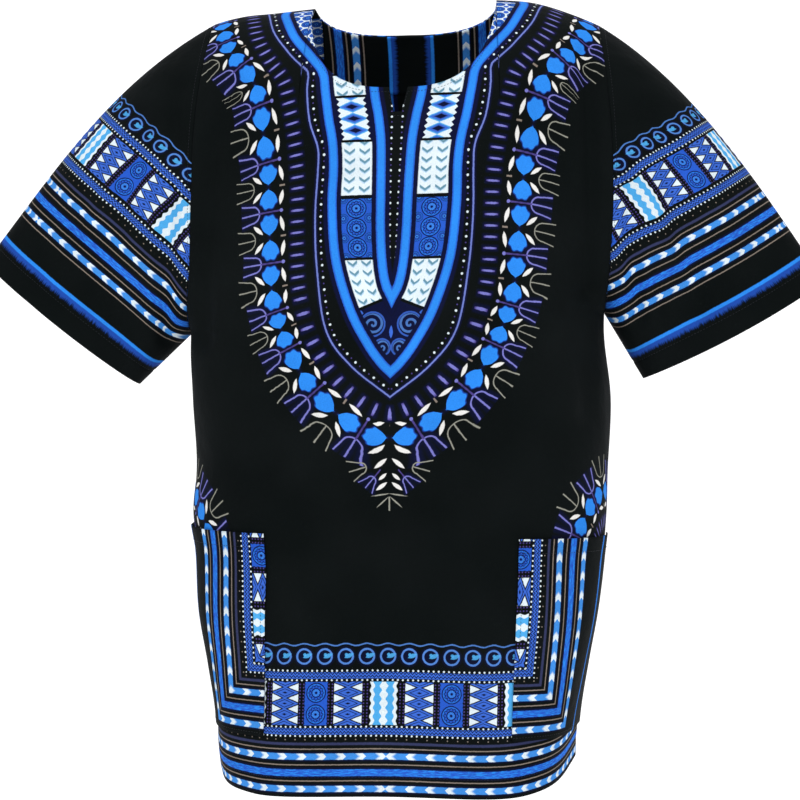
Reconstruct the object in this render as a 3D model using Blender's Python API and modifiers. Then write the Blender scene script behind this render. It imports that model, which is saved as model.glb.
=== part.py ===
"""A loose cotton dashiki shirt, filled out as if worn, with nobody in it.

Seven cloth pieces are sewn together: a front with a slit neck, a back, two wide sleeves, two patch
pockets on the lower front and a striped facing inside the back neck. Every piece is a thin wall, and
neck, hem and cuffs are open. X runs from the left of the front view to its right, the front faces -Y,
and the origin is the middle of the neck opening at the height of the shoulder line.
"""

import math

import bpy
import numpy as np

# Driving sizes, in metres
CLOTH = 0.0015              # thickness of one cotton wall
SEAM_GAP = 0.0003           # air between two pieces where they are sewn
SEAM_EASE = 0.0007          # each edge stops this short of the seam line, for the tilt of its wall
SHOULDER_ROUND = 0.095      # height over which front and back turn over the shoulder
SHOULDER_HALF = 0.192       # half the width across the shoulders, along X
NECK_DROP_FRONT = 0.148     # cloth from the shoulder line down to the front neck edge
NECK_DROP_BACK = 0.066      # the same at the back
NECK_ROUND = 3.0            # squareness of the neck curve
NECK_SHARE = 0.479          # half the neck's width as a share of half the shoulder's width
SLIT_DEPTH = 0.024          # length of the V slit below the neck edge
SLIT_SHARE = 0.0585         # half the slit's width, as the same share
ARMHOLE_ROUND = 0.110       # height of the round at the bottom of the armhole
ARMHOLE_SHARE = 0.68        # how far the armhole's edges stand forward and back, of the body's depth
POCKET_SHARE = 0.433        # the pocket's inner edge, as a share of half the front's width
FACING_ROWS = 3             # grid rows that the facing reaches down from the neck edge
FACING_SHARE = 0.458        # where the facing ends at each side of the neck, as a share of half the width

# Heights of three level lines at the left and the right side seam
ARMHOLE_BOTTOM = (-0.324, -0.306)
POCKET_TOP = (-0.514, -0.523)
POCKET_BOTTOM = (-0.707, -0.712)

# The body's section at each height: how far the left edge, the right edge and the centre line stand
# along X, the depth in front of and behind the seams, the squareness of the curve, and the share by
# which the front and back faces are narrower than the sides
SECTION_COLUMNS = ("height", "left", "right", "centre", "front", "back", "square", "taper")
SECTION_ROWS = (
    (-0.765, -0.187, 0.170, -0.0100, 0.147, 0.151, 5.0, 0.15),
    (-0.735, -0.190, 0.170, -0.0095, 0.145, 0.149, 4.6, 0.13),
    (-0.700, -0.190, 0.173, -0.0090, 0.142, 0.145, 4.2, 0.10),
    (-0.650, -0.196, 0.181, -0.0080, 0.138, 0.140, 3.6, 0.06),
    (-0.600, -0.204, 0.190, -0.0075, 0.134, 0.135, 3.2, 0.03),
    (-0.540, -0.207, 0.197, -0.0070, 0.131, 0.132, 2.9, 0.01),
    (-0.500, -0.2110, 0.200, -0.0070, 0.130, 0.131, 2.8, 0.0),
    (-0.462, -0.208, 0.201, -0.0070, 0.130, 0.131, 2.7, 0.0),
    (-0.390, -0.212, 0.204, -0.0065, 0.129, 0.131, 2.6, 0.0),
    (-0.320, -0.214, 0.197, -0.0055, 0.127, 0.132, 2.6, 0.0),
    (-0.260, -0.206, 0.201, -0.0045, 0.122, 0.132, 2.6, 0.0),
    (-0.200, -0.204, 0.204, -0.0035, 0.115, 0.130, 2.5, 0.0),
    (-0.140, -0.203, 0.203, -0.0020, 0.105, 0.124, 2.4, 0.0),
    (-0.090, -0.199, 0.199, -0.0010, 0.094, 0.116, 2.3, 0.0),
    (-0.040, -0.193, 0.193, 0.0000, 0.084, 0.105, 2.2, 0.0),
    (0.010, -0.188, 0.188, 0.0000, 0.076, 0.096, 2.2, 0.0),
)

# The shoulder line's height, out from the middle of the neck on each side
SHOULDER_COLUMNS = ("out", "left", "right")
SHOULDER_ROWS = (
    (0.000, 0.002, 0.004),
    (0.091, -0.002, 0.005),
    (0.132, -0.006, 0.001),
    (0.164, -0.009, -0.009),
    (0.192, -0.016, -0.021),
    (0.220, -0.029, -0.036),
)

# The hem's height from the left side seam (-1) across the centre (0) to the right side seam (1)
HEM_COLUMNS = ("across", "front", "back")
HEM_ROWS = (
    (-1.0, -0.758, -0.758),
    (-0.5, -0.763, -0.762),
    (0.0, -0.761, -0.764),
    (0.5, -0.762, -0.760),
    (1.0, -0.746, -0.746),
)

# The sleeves: the cuff's upper and lower corner, its half depth, how far its edge bows out, the way
# the cloth leaves the armhole and reaches the cuff, and how strongly it holds each way
SLEEVES = {
    "left": {
        "top": (-0.425, -0.252), "bottom": (-0.269, -0.376), "depth": 0.047, "bow": 0.001,
        "leave": (-0.88, -0.47), "arrive": (-0.62, -0.785), "swell": (1.10, 0.95),
    },
    "right": {
        "top": (0.413, -0.274), "bottom": (0.236, -0.370), "depth": 0.047, "bow": 0.005,
        "leave": (0.86, -0.51), "arrive": (0.56, -0.83), "swell": (1.00, 0.80),
    },
}

# Folds: a soft trough (below 0) or ridge (above 0) along a line seen from the front, metres. They
# fade out towards a panel's side edges and shoulder line, near the armhole and round the sleeve
FOLD_FADE_SIDE = 0.12
FOLD_FADE_TOP = 0.06
FOLD_FADE_SLEEVE = 0.15
FOLD_TURN = 0.5
FOLD_COLUMNS = ("x0", "z0", "x1", "z1", "width", "height")
FRONT_FOLDS = (
    (0.184, -0.055, 0.190, -0.285, 0.012, -0.011),
    (0.171, -0.250, 0.186, -0.400, 0.017, -0.008),
    (-0.160, -0.165, -0.158, -0.250, 0.018, -0.006),
    (-0.186, -0.145, -0.193, -0.330, 0.012, -0.007),
    (-0.160, -0.085, -0.172, -0.130, 0.012, -0.007),
    (-0.120, -0.560, -0.150, -0.770, 0.022, -0.005),
    (0.100, -0.600, 0.135, -0.770, 0.022, -0.005),
)
BACK_FOLDS = (
    (-0.185, -0.120, -0.180, -0.350, 0.014, -0.009),
    (0.185, -0.120, 0.176, -0.370, 0.014, -0.009),
    (-0.090, -0.300, -0.120, -0.770, 0.030, -0.009),
    (0.085, -0.330, 0.105, -0.770, 0.030, -0.009),
    (-0.010, -0.420, 0.000, -0.770, 0.035, -0.006),
)
SLEEVE_FOLDS = {
    "left": (
        (-0.216, -0.088, -0.212, -0.150, 0.010, -0.008),
        (-0.256, -0.125, -0.278, -0.215, 0.016, -0.008),
        (-0.226, -0.200, -0.236, -0.330, 0.010, -0.006),
    ),
    "right": (
        (0.250, -0.120, 0.286, -0.300, 0.016, -0.009),
        (0.216, -0.170, 0.230, -0.310, 0.011, -0.008),
        (0.330, -0.190, 0.350, -0.270, 0.018, -0.004),
    ),
}

# Grid lines: shares of half the width from the centre out, and rows between the landmarks
HALF_COLUMNS = (
    0.0, 0.0585, 0.15, 0.25, 0.34, 0.433, 0.458, 0.472, 0.479, 0.56, 0.65, 0.74, 0.83, 0.92, 1.0,
)
ROWS_TO_ARMHOLE = 12
ROWS_TO_POCKET = 7
ROWS_OF_POCKET = 7
ROWS_TO_HEM = 2
SLEEVE_STEPS = 11
ARC_SAMPLES = 96


def read_column(columns, rows, key, name, at):
    """Reads one column of a table smoothly: a cubic through its rows with the neighbours' slopes."""
    table = np.array(sorted(rows))
    x = table[:, columns.index(key)]
    y = table[:, columns.index(name)]
    slope = np.gradient(y, x)
    at = np.clip(at, x[0], x[-1])
    i = np.clip(np.searchsorted(x, at) - 1, 0, len(x) - 2)
    step = x[i + 1] - x[i]
    t = (at - x[i]) / step
    rise = t * t * (3 - 2 * t)
    early = t * (1 - t) ** 2 * step * slope[i]
    late = t * t * (1 - t) * step * slope[i + 1]
    return y[i] * (1 - rise) + y[i + 1] * rise + early - late


def section(name, height):
    """One size of the body's section at a height."""
    return read_column(SECTION_COLUMNS, SECTION_ROWS, "height", name, height)


def shoulder_height(across):
    """Height of the shoulder line above the point at this share of the half width. The two sides
    differ a little and pass into each other behind the neck opening."""
    out = np.abs(across) * SHOULDER_HALF
    left = read_column(SHOULDER_COLUMNS, SHOULDER_ROWS, "out", "left", out)
    right = read_column(SHOULDER_COLUMNS, SHOULDER_ROWS, "out", "right", out)
    weight = np.clip(0.5 + across, 0, 1)
    return left * (1 - weight) + right * weight


def level(line, across):
    """Height of a level line, passing evenly from its left end to its right one."""
    weight = 0.5 + 0.5 * across
    return line[0] * (1 - weight) + line[1] * weight


def height_below(across, drop):
    """Height of the point that lies this length of cloth below the shoulder line."""
    turn = np.minimum(drop / SHOULDER_ROUND, math.pi / 2)
    straight = np.maximum(drop - SHOULDER_ROUND * math.pi / 2, 0)
    return shoulder_height(across) - SHOULDER_ROUND * (1 - np.cos(turn)) - straight


def drop_to(across, height):
    """Length of cloth from the shoulder line down to this height, below the shoulder's round."""
    return SHOULDER_ROUND * (math.pi / 2 - 1) + shoulder_height(across) - height


def body_points(face, across, drop, held_back=0.0):
    """Points of the front (face -1) or back (face 1).

    across runs from -1 at the left edge to 1 at the right one and drop is the length of cloth below the
    shoulder line. At each height the section is a squared oval, cut off in front of and behind the
    armhole, and across shares out its length evenly. Above the shoulder's round the depth fades to
    nothing at the shoulder line. held_back shortens the section at both edges.
    """
    height = height_below(across, drop)
    depth_name = "front" if face < 0 else "back"
    depth = section(depth_name, height)
    square = section("square", height)
    centre = section("centre", height)
    edge = np.where(across < 0, centre - section("left", height), section("right", height) - centre)
    bottom = level(ARMHOLE_BOTTOM, np.sign(across))
    rise = np.clip((height - bottom) / ARMHOLE_ROUND, 0, 1)
    share = ARMHOLE_SHARE * np.sqrt(rise * (2 - rise))
    half_width = edge / (1 - share**square) ** (1 / square)
    last_angle = np.arctan2(edge, share * depth)
    fade = np.sin(np.minimum(drop / SHOULDER_ROUND, math.pi / 2))

    angle = last_angle[..., None] * np.linspace(0, 1, ARC_SAMPLES)
    power = square[..., None]
    reach = ((np.cos(angle) / depth[..., None]) ** power + (np.sin(angle) / half_width[..., None]) ** power)
    reach = reach ** (-1 / power)
    forward = reach * np.cos(angle)
    out = reach * np.sin(angle) * (1 - section("taper", height)[..., None] * forward / depth[..., None])
    forward = forward * fade[..., None]
    steps = np.hypot(np.diff(out), np.diff(forward))
    length = np.concatenate([np.zeros(out.shape[:-1] + (1,)), np.cumsum(steps, axis=-1)], axis=-1)
    wanted = np.abs(across) * (length[..., -1] - held_back)
    i = np.clip((length < wanted[..., None]).sum(-1) - 1, 0, ARC_SAMPLES - 2)[..., None]
    before = np.take_along_axis(length, i, -1)
    after = np.take_along_axis(length, i + 1, -1)
    part = (wanted[..., None] - before) / (after - before)

    out = np.take_along_axis(out, i, -1) * (1 - part) + np.take_along_axis(out, i + 1, -1) * part
    forward = np.take_along_axis(forward, i, -1) * (1 - part) + np.take_along_axis(forward, i + 1, -1) * part
    x = centre + np.sign(across) * out[..., 0]
    y = face * forward[..., 0]
    return np.stack([x, y, height], axis=-1)


def neck_drop(across, depth):
    """Length of cloth that the neck curve takes off the shoulder line, none outside the neck."""
    share = np.clip(np.abs(across) / NECK_SHARE, 0, 1)
    return depth * (1 - share**NECK_ROUND) ** (1 / NECK_ROUND)


def normals(points):
    """Unit normals of a grid of points, square to the steps along its columns and down its rows."""
    n = np.cross(np.gradient(points, axis=1), np.gradient(points, axis=0))
    return n / np.linalg.norm(n, axis=-1, keepdims=True)


def folded(points, outward, folds, window):
    """Moves points along their normals by the folds' soft profile: a bell across each fold's line,
    fading at its ends."""
    moved = np.zeros(points.shape[:-1])
    for row in folds:
        fold = dict(zip(FOLD_COLUMNS, row))
        line = np.array([fold["x1"] - fold["x0"], fold["z1"] - fold["z0"]])
        offset = points[..., [0, 2]] - np.array([fold["x0"], fold["z0"]])
        nearest = np.clip((offset @ line) / (line @ line), 0, 1)
        away = np.linalg.norm(offset - nearest[..., None] * line, axis=-1)
        moved += fold["height"] * np.exp(-((away / fold["width"]) ** 2))
    return points + outward * (moved * window)[..., None]


def soft_step(x):
    """0 below 0, 1 above 1 and a smooth rise between."""
    x = np.clip(x, 0, 1)
    return x * x * (3 - 2 * x)


def panel_grid(face):
    """Grid of the front or back: columns from edge to edge, rows from the neck and shoulder to the hem,
    with rows on the bottom of the armhole and on the pocket's top and bottom."""
    half = np.array(HALF_COLUMNS)
    across = np.concatenate([-half[:0:-1], half])
    if face < 0:
        top = neck_drop(across, NECK_DROP_FRONT)
        top += SLIT_DEPTH * np.clip(1 - np.abs(across) / SLIT_SHARE, 0, 1)
    else:
        top = neck_drop(across, NECK_DROP_BACK)
    top = np.maximum(top, SEAM_EASE)
    hem = read_column(HEM_COLUMNS, HEM_ROWS, "across", "front" if face < 0 else "back", across)
    marks = [top]
    for line in (ARMHOLE_BOTTOM, POCKET_TOP, POCKET_BOTTOM):
        marks.append(drop_to(across, level(line, across)))
    marks.append(drop_to(across, hem))
    rows = []
    for i, count in enumerate((ROWS_TO_ARMHOLE, ROWS_TO_POCKET, ROWS_OF_POCKET, ROWS_TO_HEM)):
        share = np.arange(count)[:, None] / count
        rows.append(marks[i] * (1 - share) + marks[i + 1] * share)
    rows.append(marks[-1][None, :])
    drop = np.concatenate(rows)
    return np.broadcast_to(across, drop.shape), drop


def panel_points(face):
    """The front's or back's points, with its folds, fading out towards the seams."""
    across, drop = panel_grid(face)
    points = body_points(face, across, drop, SEAM_EASE)
    outward = normals(points) * face
    window = soft_step((1 - np.abs(across)) / FOLD_FADE_SIDE) * soft_step(drop / FOLD_FADE_TOP)
    return folded(points, outward, FRONT_FOLDS if face < 0 else BACK_FOLDS, window)


def armhole_loop(side):
    """Closed loop of the armhole: down the front edge from the shoulder line, up the back edge."""
    sign = -1.0 if side == "left" else 1.0
    across = np.full(ROWS_TO_ARMHOLE + 1, sign)
    last = drop_to(across, level(ARMHOLE_BOTTOM, across))
    drop = last * np.linspace(0, 1, ROWS_TO_ARMHOLE + 1)
    front = body_points(-1, across, drop)
    back = body_points(1, across, drop)
    return np.concatenate([front, back[-2:0:-1]])


def sleeve_points(side):
    """Sleeve carried from the armhole to the cuff. Each line along it is a cubic curve that leaves the
    armhole outward and reaches the cuff square to its edge, and the lines underneath run straighter."""
    sizes = SLEEVES[side]
    start = armhole_loop(side)
    count = len(start)
    turn = 2 * math.pi * np.arange(count) / count
    top = np.array([sizes["top"][0], 0.0, sizes["top"][1]])
    bottom = np.array([sizes["bottom"][0], 0.0, sizes["bottom"][1]])
    leave = np.array([sizes["leave"][0], 0.0, sizes["leave"][1]])
    arrive = np.array([sizes["arrive"][0], 0.0, sizes["arrive"][1]])
    end = (top + bottom) / 2 + np.outer(np.cos(turn), (top - bottom) / 2)
    end[:, 1] = -sizes["depth"] * np.sin(turn)
    end += np.outer(np.sin(turn) ** 2, arrive * sizes["bow"])
    start = start + leave * (SEAM_GAP + SEAM_EASE)
    chord = end - start
    far = np.linalg.norm(chord, axis=1, keepdims=True)
    under = soft_step((-np.cos(turn) - 0.2) / 0.8)[:, None]
    first = leave * far * sizes["swell"][0] * (1 - under) + chord * under
    last = arrive * far * sizes["swell"][1] * (1 - under) + chord * under
    t = np.linspace(0, 1, SLEEVE_STEPS + 1)[:, None, None]
    points = (
        start * (1 + 2 * t) * (1 - t) ** 2
        + end * t * t * (3 - 2 * t)
        + first * t * (1 - t) ** 2
        - last * t * t * (1 - t)
    )
    closed = np.concatenate([points[:, -1:], points, points[:, :1]], axis=1)
    outward = normals(closed)[:, 1:-1] * (-1 if side == "left" else 1)
    window = soft_step(t[..., 0] / FOLD_FADE_SLEEVE) * soft_step(-outward[..., 1] / FOLD_TURN)
    return folded(points, outward, SLEEVE_FOLDS[side], window)


def new_material(name, colour, roughness):
    """Plain printed cotton: a Principled surface of one colour."""
    material = bpy.data.materials.new(name)
    material.use_nodes = True
    surface = material.node_tree.nodes["Principled BSDF"]
    surface.inputs["Base Color"].default_value = (*colour, 1)
    surface.inputs["Roughness"].default_value = roughness
    surface.inputs["Metallic"].default_value = 0.0
    return material


def cloth_piece(name, points, material, closed=False, flip=False):
    """Makes a wall of cloth from a grid of points on its outer face. A closed grid joins its last
    column to its first, and flip turns the faces round."""
    rows, columns = points.shape[:2]
    index = np.arange(rows * columns).reshape(rows, columns)
    if closed:
        index = np.concatenate([index, index[:, :1]], axis=1)
    quads = np.stack([index[:-1, :-1], index[1:, :-1], index[1:, 1:], index[:-1, 1:]], axis=-1)
    quads = quads.reshape(-1, 4)
    if flip:
        quads = quads[:, ::-1]
    mesh = bpy.data.meshes.new(name)
    mesh.from_pydata(points.reshape(-1, 3).tolist(), [], quads.tolist())
    mesh.materials.append(material)
    mesh.shade_smooth()
    piece = bpy.data.objects.new(name, mesh)
    wall = piece.modifiers.new("wall", "SOLIDIFY")
    wall.thickness = CLOTH
    wall.offset = -1
    shirt.objects.link(piece)
    return piece


def moved_off(piece, points, distance):
    """The grid of a piece's points moved off its outer face by this distance, along its own normals."""
    vectors = np.zeros(points.size, np.float32)
    piece.data.vertex_normals.foreach_get("vector", vectors)
    return points + vectors.reshape(points.shape) * distance


for old in list(bpy.data.objects):
    bpy.data.objects.remove(old)

shirt = bpy.data.collections.new("dashiki_shirt")
bpy.context.scene.collection.children.link(shirt)

body_print = new_material("body_print", (0.010, 0.012, 0.014), 0.75)
sleeve_print = new_material("sleeve_print", (0.014, 0.050, 0.160), 0.75)
pocket_print = new_material("pocket_print", (0.020, 0.120, 0.420), 0.75)
facing_print = new_material("facing_print", (0.012, 0.030, 0.090), 0.80)

front = panel_points(-1)
back = panel_points(1)
front_piece = cloth_piece("front", front, body_print)
back_piece = cloth_piece("back", back, body_print, flip=True)

for side in ("left", "right"):
    cloth_piece("sleeve_" + side, sleeve_points(side), sleeve_print, closed=True, flip=side == "right")

half_count = len(HALF_COLUMNS) - 1
pocket_column = HALF_COLUMNS.index(POCKET_SHARE)
pocket_rows = slice(ROWS_TO_ARMHOLE + ROWS_TO_POCKET, ROWS_TO_ARMHOLE + ROWS_TO_POCKET + ROWS_OF_POCKET + 1)
pocket_columns = {
    "left": slice(0, half_count - pocket_column + 1),
    "right": slice(half_count + pocket_column, None),
}
lifted = moved_off(front_piece, front, CLOTH + SEAM_GAP)
for side in ("left", "right"):
    cloth_piece("pocket_" + side, lifted[pocket_rows, pocket_columns[side]], pocket_print)

facing_column = HALF_COLUMNS.index(FACING_SHARE)
inside = moved_off(back_piece, back, -CLOTH - SEAM_GAP)
facing = inside[:FACING_ROWS + 1, half_count - facing_column:half_count + facing_column + 1]
cloth_piece("back_facing", facing, facing_print, flip=True)
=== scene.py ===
"""The looks of a loose cotton dashiki shirt, printed in blue, white and lavender on black.

The sections follow the shirt as it is put together: the room it is shown in, the front with its
printed yoke, flower chain, hem border and stitches, the back, the sleeves, the pockets and the
striped facing. Places are in metres. The print is laid out in millimetres of cloth, which the pieces'
UV maps hold.
"""
import math

import bpy
import numpy as np
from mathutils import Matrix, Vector


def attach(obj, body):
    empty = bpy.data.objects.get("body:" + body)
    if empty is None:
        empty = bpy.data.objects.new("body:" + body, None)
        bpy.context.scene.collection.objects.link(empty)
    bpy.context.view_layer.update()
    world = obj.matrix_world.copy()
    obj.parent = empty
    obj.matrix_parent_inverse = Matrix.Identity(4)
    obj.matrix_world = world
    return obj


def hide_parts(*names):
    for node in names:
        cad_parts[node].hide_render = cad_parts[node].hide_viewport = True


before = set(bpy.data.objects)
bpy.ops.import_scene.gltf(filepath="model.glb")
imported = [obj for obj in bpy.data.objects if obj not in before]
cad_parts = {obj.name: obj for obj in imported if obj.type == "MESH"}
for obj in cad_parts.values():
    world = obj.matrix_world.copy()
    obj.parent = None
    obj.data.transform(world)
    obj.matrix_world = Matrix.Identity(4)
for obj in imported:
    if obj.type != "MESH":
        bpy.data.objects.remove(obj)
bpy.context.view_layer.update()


# ---- The room -----------------------------------------------------------------------------------
# A plain white sweep behind and below the shirt, four large soft lamps and an even white sky. The
# camera stands in front of the chest, a little towards +X, and looks almost level.

SWEEP_WIDTH = 16.0
SWEEP_FRONT = -7.0
SWEEP_BEHIND = 4.6
SWEEP_FLOOR = -1.15
SWEEP_BEND = 1.2
SWEEP_TOP = 4.0
SWEEP_COLUMNS = 5
BEND_SAMPLES = 25
SWEEP_GLOW = 0.35
SKY_STRENGTH = 0.70
CAMERA_TURN = math.radians(4.0)
CAMERA_TILT = math.radians(1.3)
CAMERA_REACH = 2.2
CAMERA_ASIDE = -0.006
CAMERA_HEIGHT = -0.342
CAMERA_LENS = 99.0
CAMERA_FILM = 36.0
LAMP_COLUMNS = ("name", "place", "width", "watts")
LAMPS = (
    ("key", (-1.5, -2.6, 1.5), 2.0, 32.0),
    ("fill", (1.9, -2.4, 0.3), 2.2, 18.0),
    ("top", (0.0, -0.5, 2.4), 2.4, 16.0),
    ("behind", (0.3, 1.5, 1.9), 1.6, 12.0),
)


def placed(name, data):
    """A new object of this mesh, light or camera, in the scene."""
    thing = bpy.data.objects.new(name, data)
    bpy.context.scene.collection.objects.link(thing)
    return thing


def new_material(name):
    """A material with nodes, its tree and its surface shader."""
    material = bpy.data.materials.new(name)
    material.use_nodes = True
    return material, material.node_tree, material.node_tree.nodes["Principled BSDF"]


def grid_quads(index):
    """The faces between the neighbouring rows and columns of a grid of point numbers."""
    quads = np.stack([index[:-1, :-1], index[1:, :-1], index[1:, 1:], index[:-1, 1:]], axis=-1)
    return quads.reshape(-1, 4)


def room_sweep():
    """A strip along X whose profile runs over the floor, up a quarter circle and on up the wall."""
    bend = np.linspace(0, math.pi / 2, BEND_SAMPLES)
    bend_y = SWEEP_BEHIND - SWEEP_BEND * (1 - np.sin(bend))
    bend_z = SWEEP_FLOOR + SWEEP_BEND * (1 - np.cos(bend))
    y = np.concatenate([[SWEEP_FRONT], bend_y, [SWEEP_BEHIND]])[:, None]
    z = np.concatenate([[SWEEP_FLOOR], bend_z, [SWEEP_TOP]])[:, None]
    x = np.linspace(SWEEP_WIDTH / 2, -SWEEP_WIDTH / 2, SWEEP_COLUMNS)
    points = np.stack(np.broadcast_arrays(x, y, z), axis=-1)
    index = np.arange(y.size * x.size).reshape(y.size, x.size)
    mesh = bpy.data.meshes.new("sweep")
    mesh.from_pydata(points.reshape(-1, 3).tolist(), [], grid_quads(index).tolist())
    mesh.shade_smooth()
    paint, _, surface = new_material("white_paint")
    surface.inputs["Base Color"].default_value = (0.86, 0.86, 0.87, 1)
    surface.inputs["Roughness"].default_value = 0.9
    surface.inputs["Emission Color"].default_value = (1, 1, 1, 1)
    surface.inputs["Emission Strength"].default_value = SWEEP_GLOW
    mesh.materials.append(paint)
    return placed("sweep", mesh)


room_sweep()

for row in LAMPS:
    lamp = dict(zip(LAMP_COLUMNS, row))
    light = bpy.data.lights.new(lamp["name"], "AREA")
    light.size = lamp["width"]
    light.energy = lamp["watts"]
    holder = placed(lamp["name"], light)
    holder.location = lamp["place"]
    aim = Vector((0, 0, CAMERA_HEIGHT)) - holder.location
    holder.rotation_euler = aim.to_track_quat("-Z", "Y").to_euler()

sky = bpy.data.worlds.new("sky")
sky.use_nodes = True
sky.node_tree.nodes["Background"].inputs["Color"].default_value = (1.0, 1.0, 1.0, 1)
sky.node_tree.nodes["Background"].inputs["Strength"].default_value = SKY_STRENGTH
bpy.context.scene.world = sky
bpy.context.scene.view_settings.view_transform = "Standard"

aside = Vector((math.cos(CAMERA_TURN), math.sin(CAMERA_TURN), 0))
away = Vector((math.sin(CAMERA_TURN), -math.cos(CAMERA_TURN), 0))
lens = bpy.data.cameras.new("camera")
lens.lens = CAMERA_LENS
lens.sensor_width = CAMERA_FILM
camera = placed("camera", lens)
camera.location = away * CAMERA_REACH + aside * CAMERA_ASIDE + Vector((0, 0, CAMERA_HEIGHT))
look = -away * math.cos(CAMERA_TILT) - Vector((0, 0, math.sin(CAMERA_TILT)))
camera.rotation_euler = look.to_track_quat("-Z", "Y").to_euler()
bpy.context.scene.camera = camera


# ---- The front: its cut -------------------------------------------------------------------------
# One panel of printed cotton with a round neck and a short V slit. It hangs from the shoulder line
# over the chest and round to the side seams, with the soft folds of a loose shirt.

CLOTH = 0.0011
SEAM_EASE = 0.00005
SHOULDER_ROUND = 0.095
SHOULDER_HALF = 0.192
NECK_DROP = {-1: 0.148, 1: 0.066}
NECK_ROUND = 3.0
NECK_SHARE = 0.479
SLIT_DEPTH = 0.024
SLIT_FLOOR = 0.018
SLIT_MOUTH = 0.044
ARMHOLE_ROUND = 0.110
ARMHOLE_SHARE = 0.68
ARMHOLE_BOTTOM = (-0.324, -0.306)
POCKET_TOP = (-0.514, -0.523)
POCKET_BOTTOM = (-0.707, -0.712)
POCKET_SHARE = 0.433
SECTION_COLUMNS = ("height", "left", "right", "centre", "front", "back", "square", "taper")
SECTION_ROWS = (
    (-0.765, -0.187, 0.170, -0.0100, 0.147, 0.151, 5.0, 0.15),
    (-0.735, -0.190, 0.170, -0.0095, 0.145, 0.149, 4.6, 0.13),
    (-0.700, -0.190, 0.173, -0.0090, 0.142, 0.145, 4.2, 0.10),
    (-0.650, -0.196, 0.181, -0.0080, 0.138, 0.140, 3.6, 0.06),
    (-0.600, -0.204, 0.190, -0.0075, 0.134, 0.135, 3.2, 0.03),
    (-0.540, -0.207, 0.197, -0.0070, 0.131, 0.132, 2.9, 0.01),
    (-0.500, -0.211, 0.200, -0.0070, 0.130, 0.131, 2.8, 0.0),
    (-0.462, -0.208, 0.201, -0.0070, 0.130, 0.131, 2.7, 0.0),
    (-0.390, -0.212, 0.204, -0.0065, 0.129, 0.131, 2.6, 0.0),
    (-0.320, -0.214, 0.197, -0.0055, 0.127, 0.132, 2.6, 0.0),
    (-0.260, -0.206, 0.201, -0.0045, 0.122, 0.132, 2.6, 0.0),
    (-0.200, -0.204, 0.204, -0.0035, 0.115, 0.130, 2.5, 0.0),
    (-0.140, -0.203, 0.203, -0.0020, 0.105, 0.124, 2.4, 0.0),
    (-0.090, -0.199, 0.199, -0.0010, 0.094, 0.116, 2.3, 0.0),
    (-0.040, -0.193, 0.193, 0.0000, 0.084, 0.105, 2.2, 0.0),
    (0.010, -0.188, 0.188, 0.0000, 0.076, 0.096, 2.2, 0.0),
)
SHOULDER_COLUMNS = ("out", "left", "right")
SHOULDER_ROWS = (
    (0.000, 0.002, 0.004),
    (0.091, -0.002, 0.005),
    (0.132, -0.006, 0.001),
    (0.164, -0.009, -0.009),
    (0.192, -0.016, -0.021),
    (0.220, -0.029, -0.036),
)
HEM_COLUMNS = ("across", "front", "back")
HEM_ROWS = (
    (-1.0, -0.758, -0.758),
    (-0.5, -0.763, -0.762),
    (0.0, -0.761, -0.764),
    (0.5, -0.762, -0.760),
    (1.0, -0.746, -0.746),
)
FOLD_COLUMNS = ("x0", "z0", "x1", "z1", "width", "height")
FRONT_FOLDS = (
    (0.184, -0.055, 0.190, -0.285, 0.012, -0.011),
    (0.171, -0.250, 0.186, -0.400, 0.017, -0.008),
    (-0.160, -0.165, -0.158, -0.250, 0.018, -0.006),
    (-0.186, -0.145, -0.193, -0.330, 0.012, -0.007),
    (-0.160, -0.085, -0.172, -0.130, 0.012, -0.007),
    (-0.120, -0.560, -0.150, -0.770, 0.022, -0.005),
    (0.100, -0.600, 0.135, -0.770, 0.022, -0.005),
)
FRONT_CREASES = (
    (-0.176, -0.210, -0.140, -0.320, 0.008, -0.0018),
    (-0.150, -0.300, -0.160, -0.450, 0.011, -0.0016),
    (-0.070, -0.480, -0.085, -0.640, 0.016, -0.0018),
    (0.060, -0.470, 0.045, -0.600, 0.015, -0.0016),
    (0.155, -0.330, 0.140, -0.470, 0.010, -0.0020),
    (0.150, -0.110, 0.165, -0.190, 0.008, -0.0020),
    (-0.128, -0.060, -0.150, -0.120, 0.007, -0.0018),
    (-0.012, -0.560, -0.018, -0.720, 0.018, -0.0014),
    (0.018, -0.118, 0.040, -0.170, 0.010, -0.0010),
    (-0.022, -0.120, -0.046, -0.175, 0.010, -0.0010),
)
FOLD_FADE_SIDE = 0.12
FOLD_FADE_TOP = 0.06
FINE_ROWS = (100, 60, 56, 22)
COLUMN_MARKS = (0.0, SLIT_FLOOR, SLIT_MOUTH, POCKET_SHARE, NECK_SHARE, 1.0)
FINE_COLUMNS = (3, 5, 30, 6, 39)
ARC_SAMPLES = 96
HEM_STITCH = 0.018
HEM_DIP = 0.0005
HEM_DIP_WIDTH = 0.0015
FLAT_MARGIN = 0.004


def read_column(columns, rows, key, name, at):
    """Reads one column of a table smoothly: the cubic through its rows with the neighbours' slopes."""
    table = np.array(sorted(rows))
    x = table[:, columns.index(key)]
    y = table[:, columns.index(name)]
    slope = np.gradient(y, x)
    at = np.clip(at, x[0], x[-1])
    i = np.clip(np.searchsorted(x, at) - 1, 0, len(x) - 2)
    step = x[i + 1] - x[i]
    t = (at - x[i]) / step
    rise = t * t * (3 - 2 * t)
    early = t * (1 - t) ** 2 * step * slope[i]
    late = t * t * (1 - t) * step * slope[i + 1]
    return y[i] * (1 - rise) + y[i + 1] * rise + early - late


def section(name, height):
    """One size of the body's section at a height."""
    return read_column(SECTION_COLUMNS, SECTION_ROWS, "height", name, height)


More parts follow.
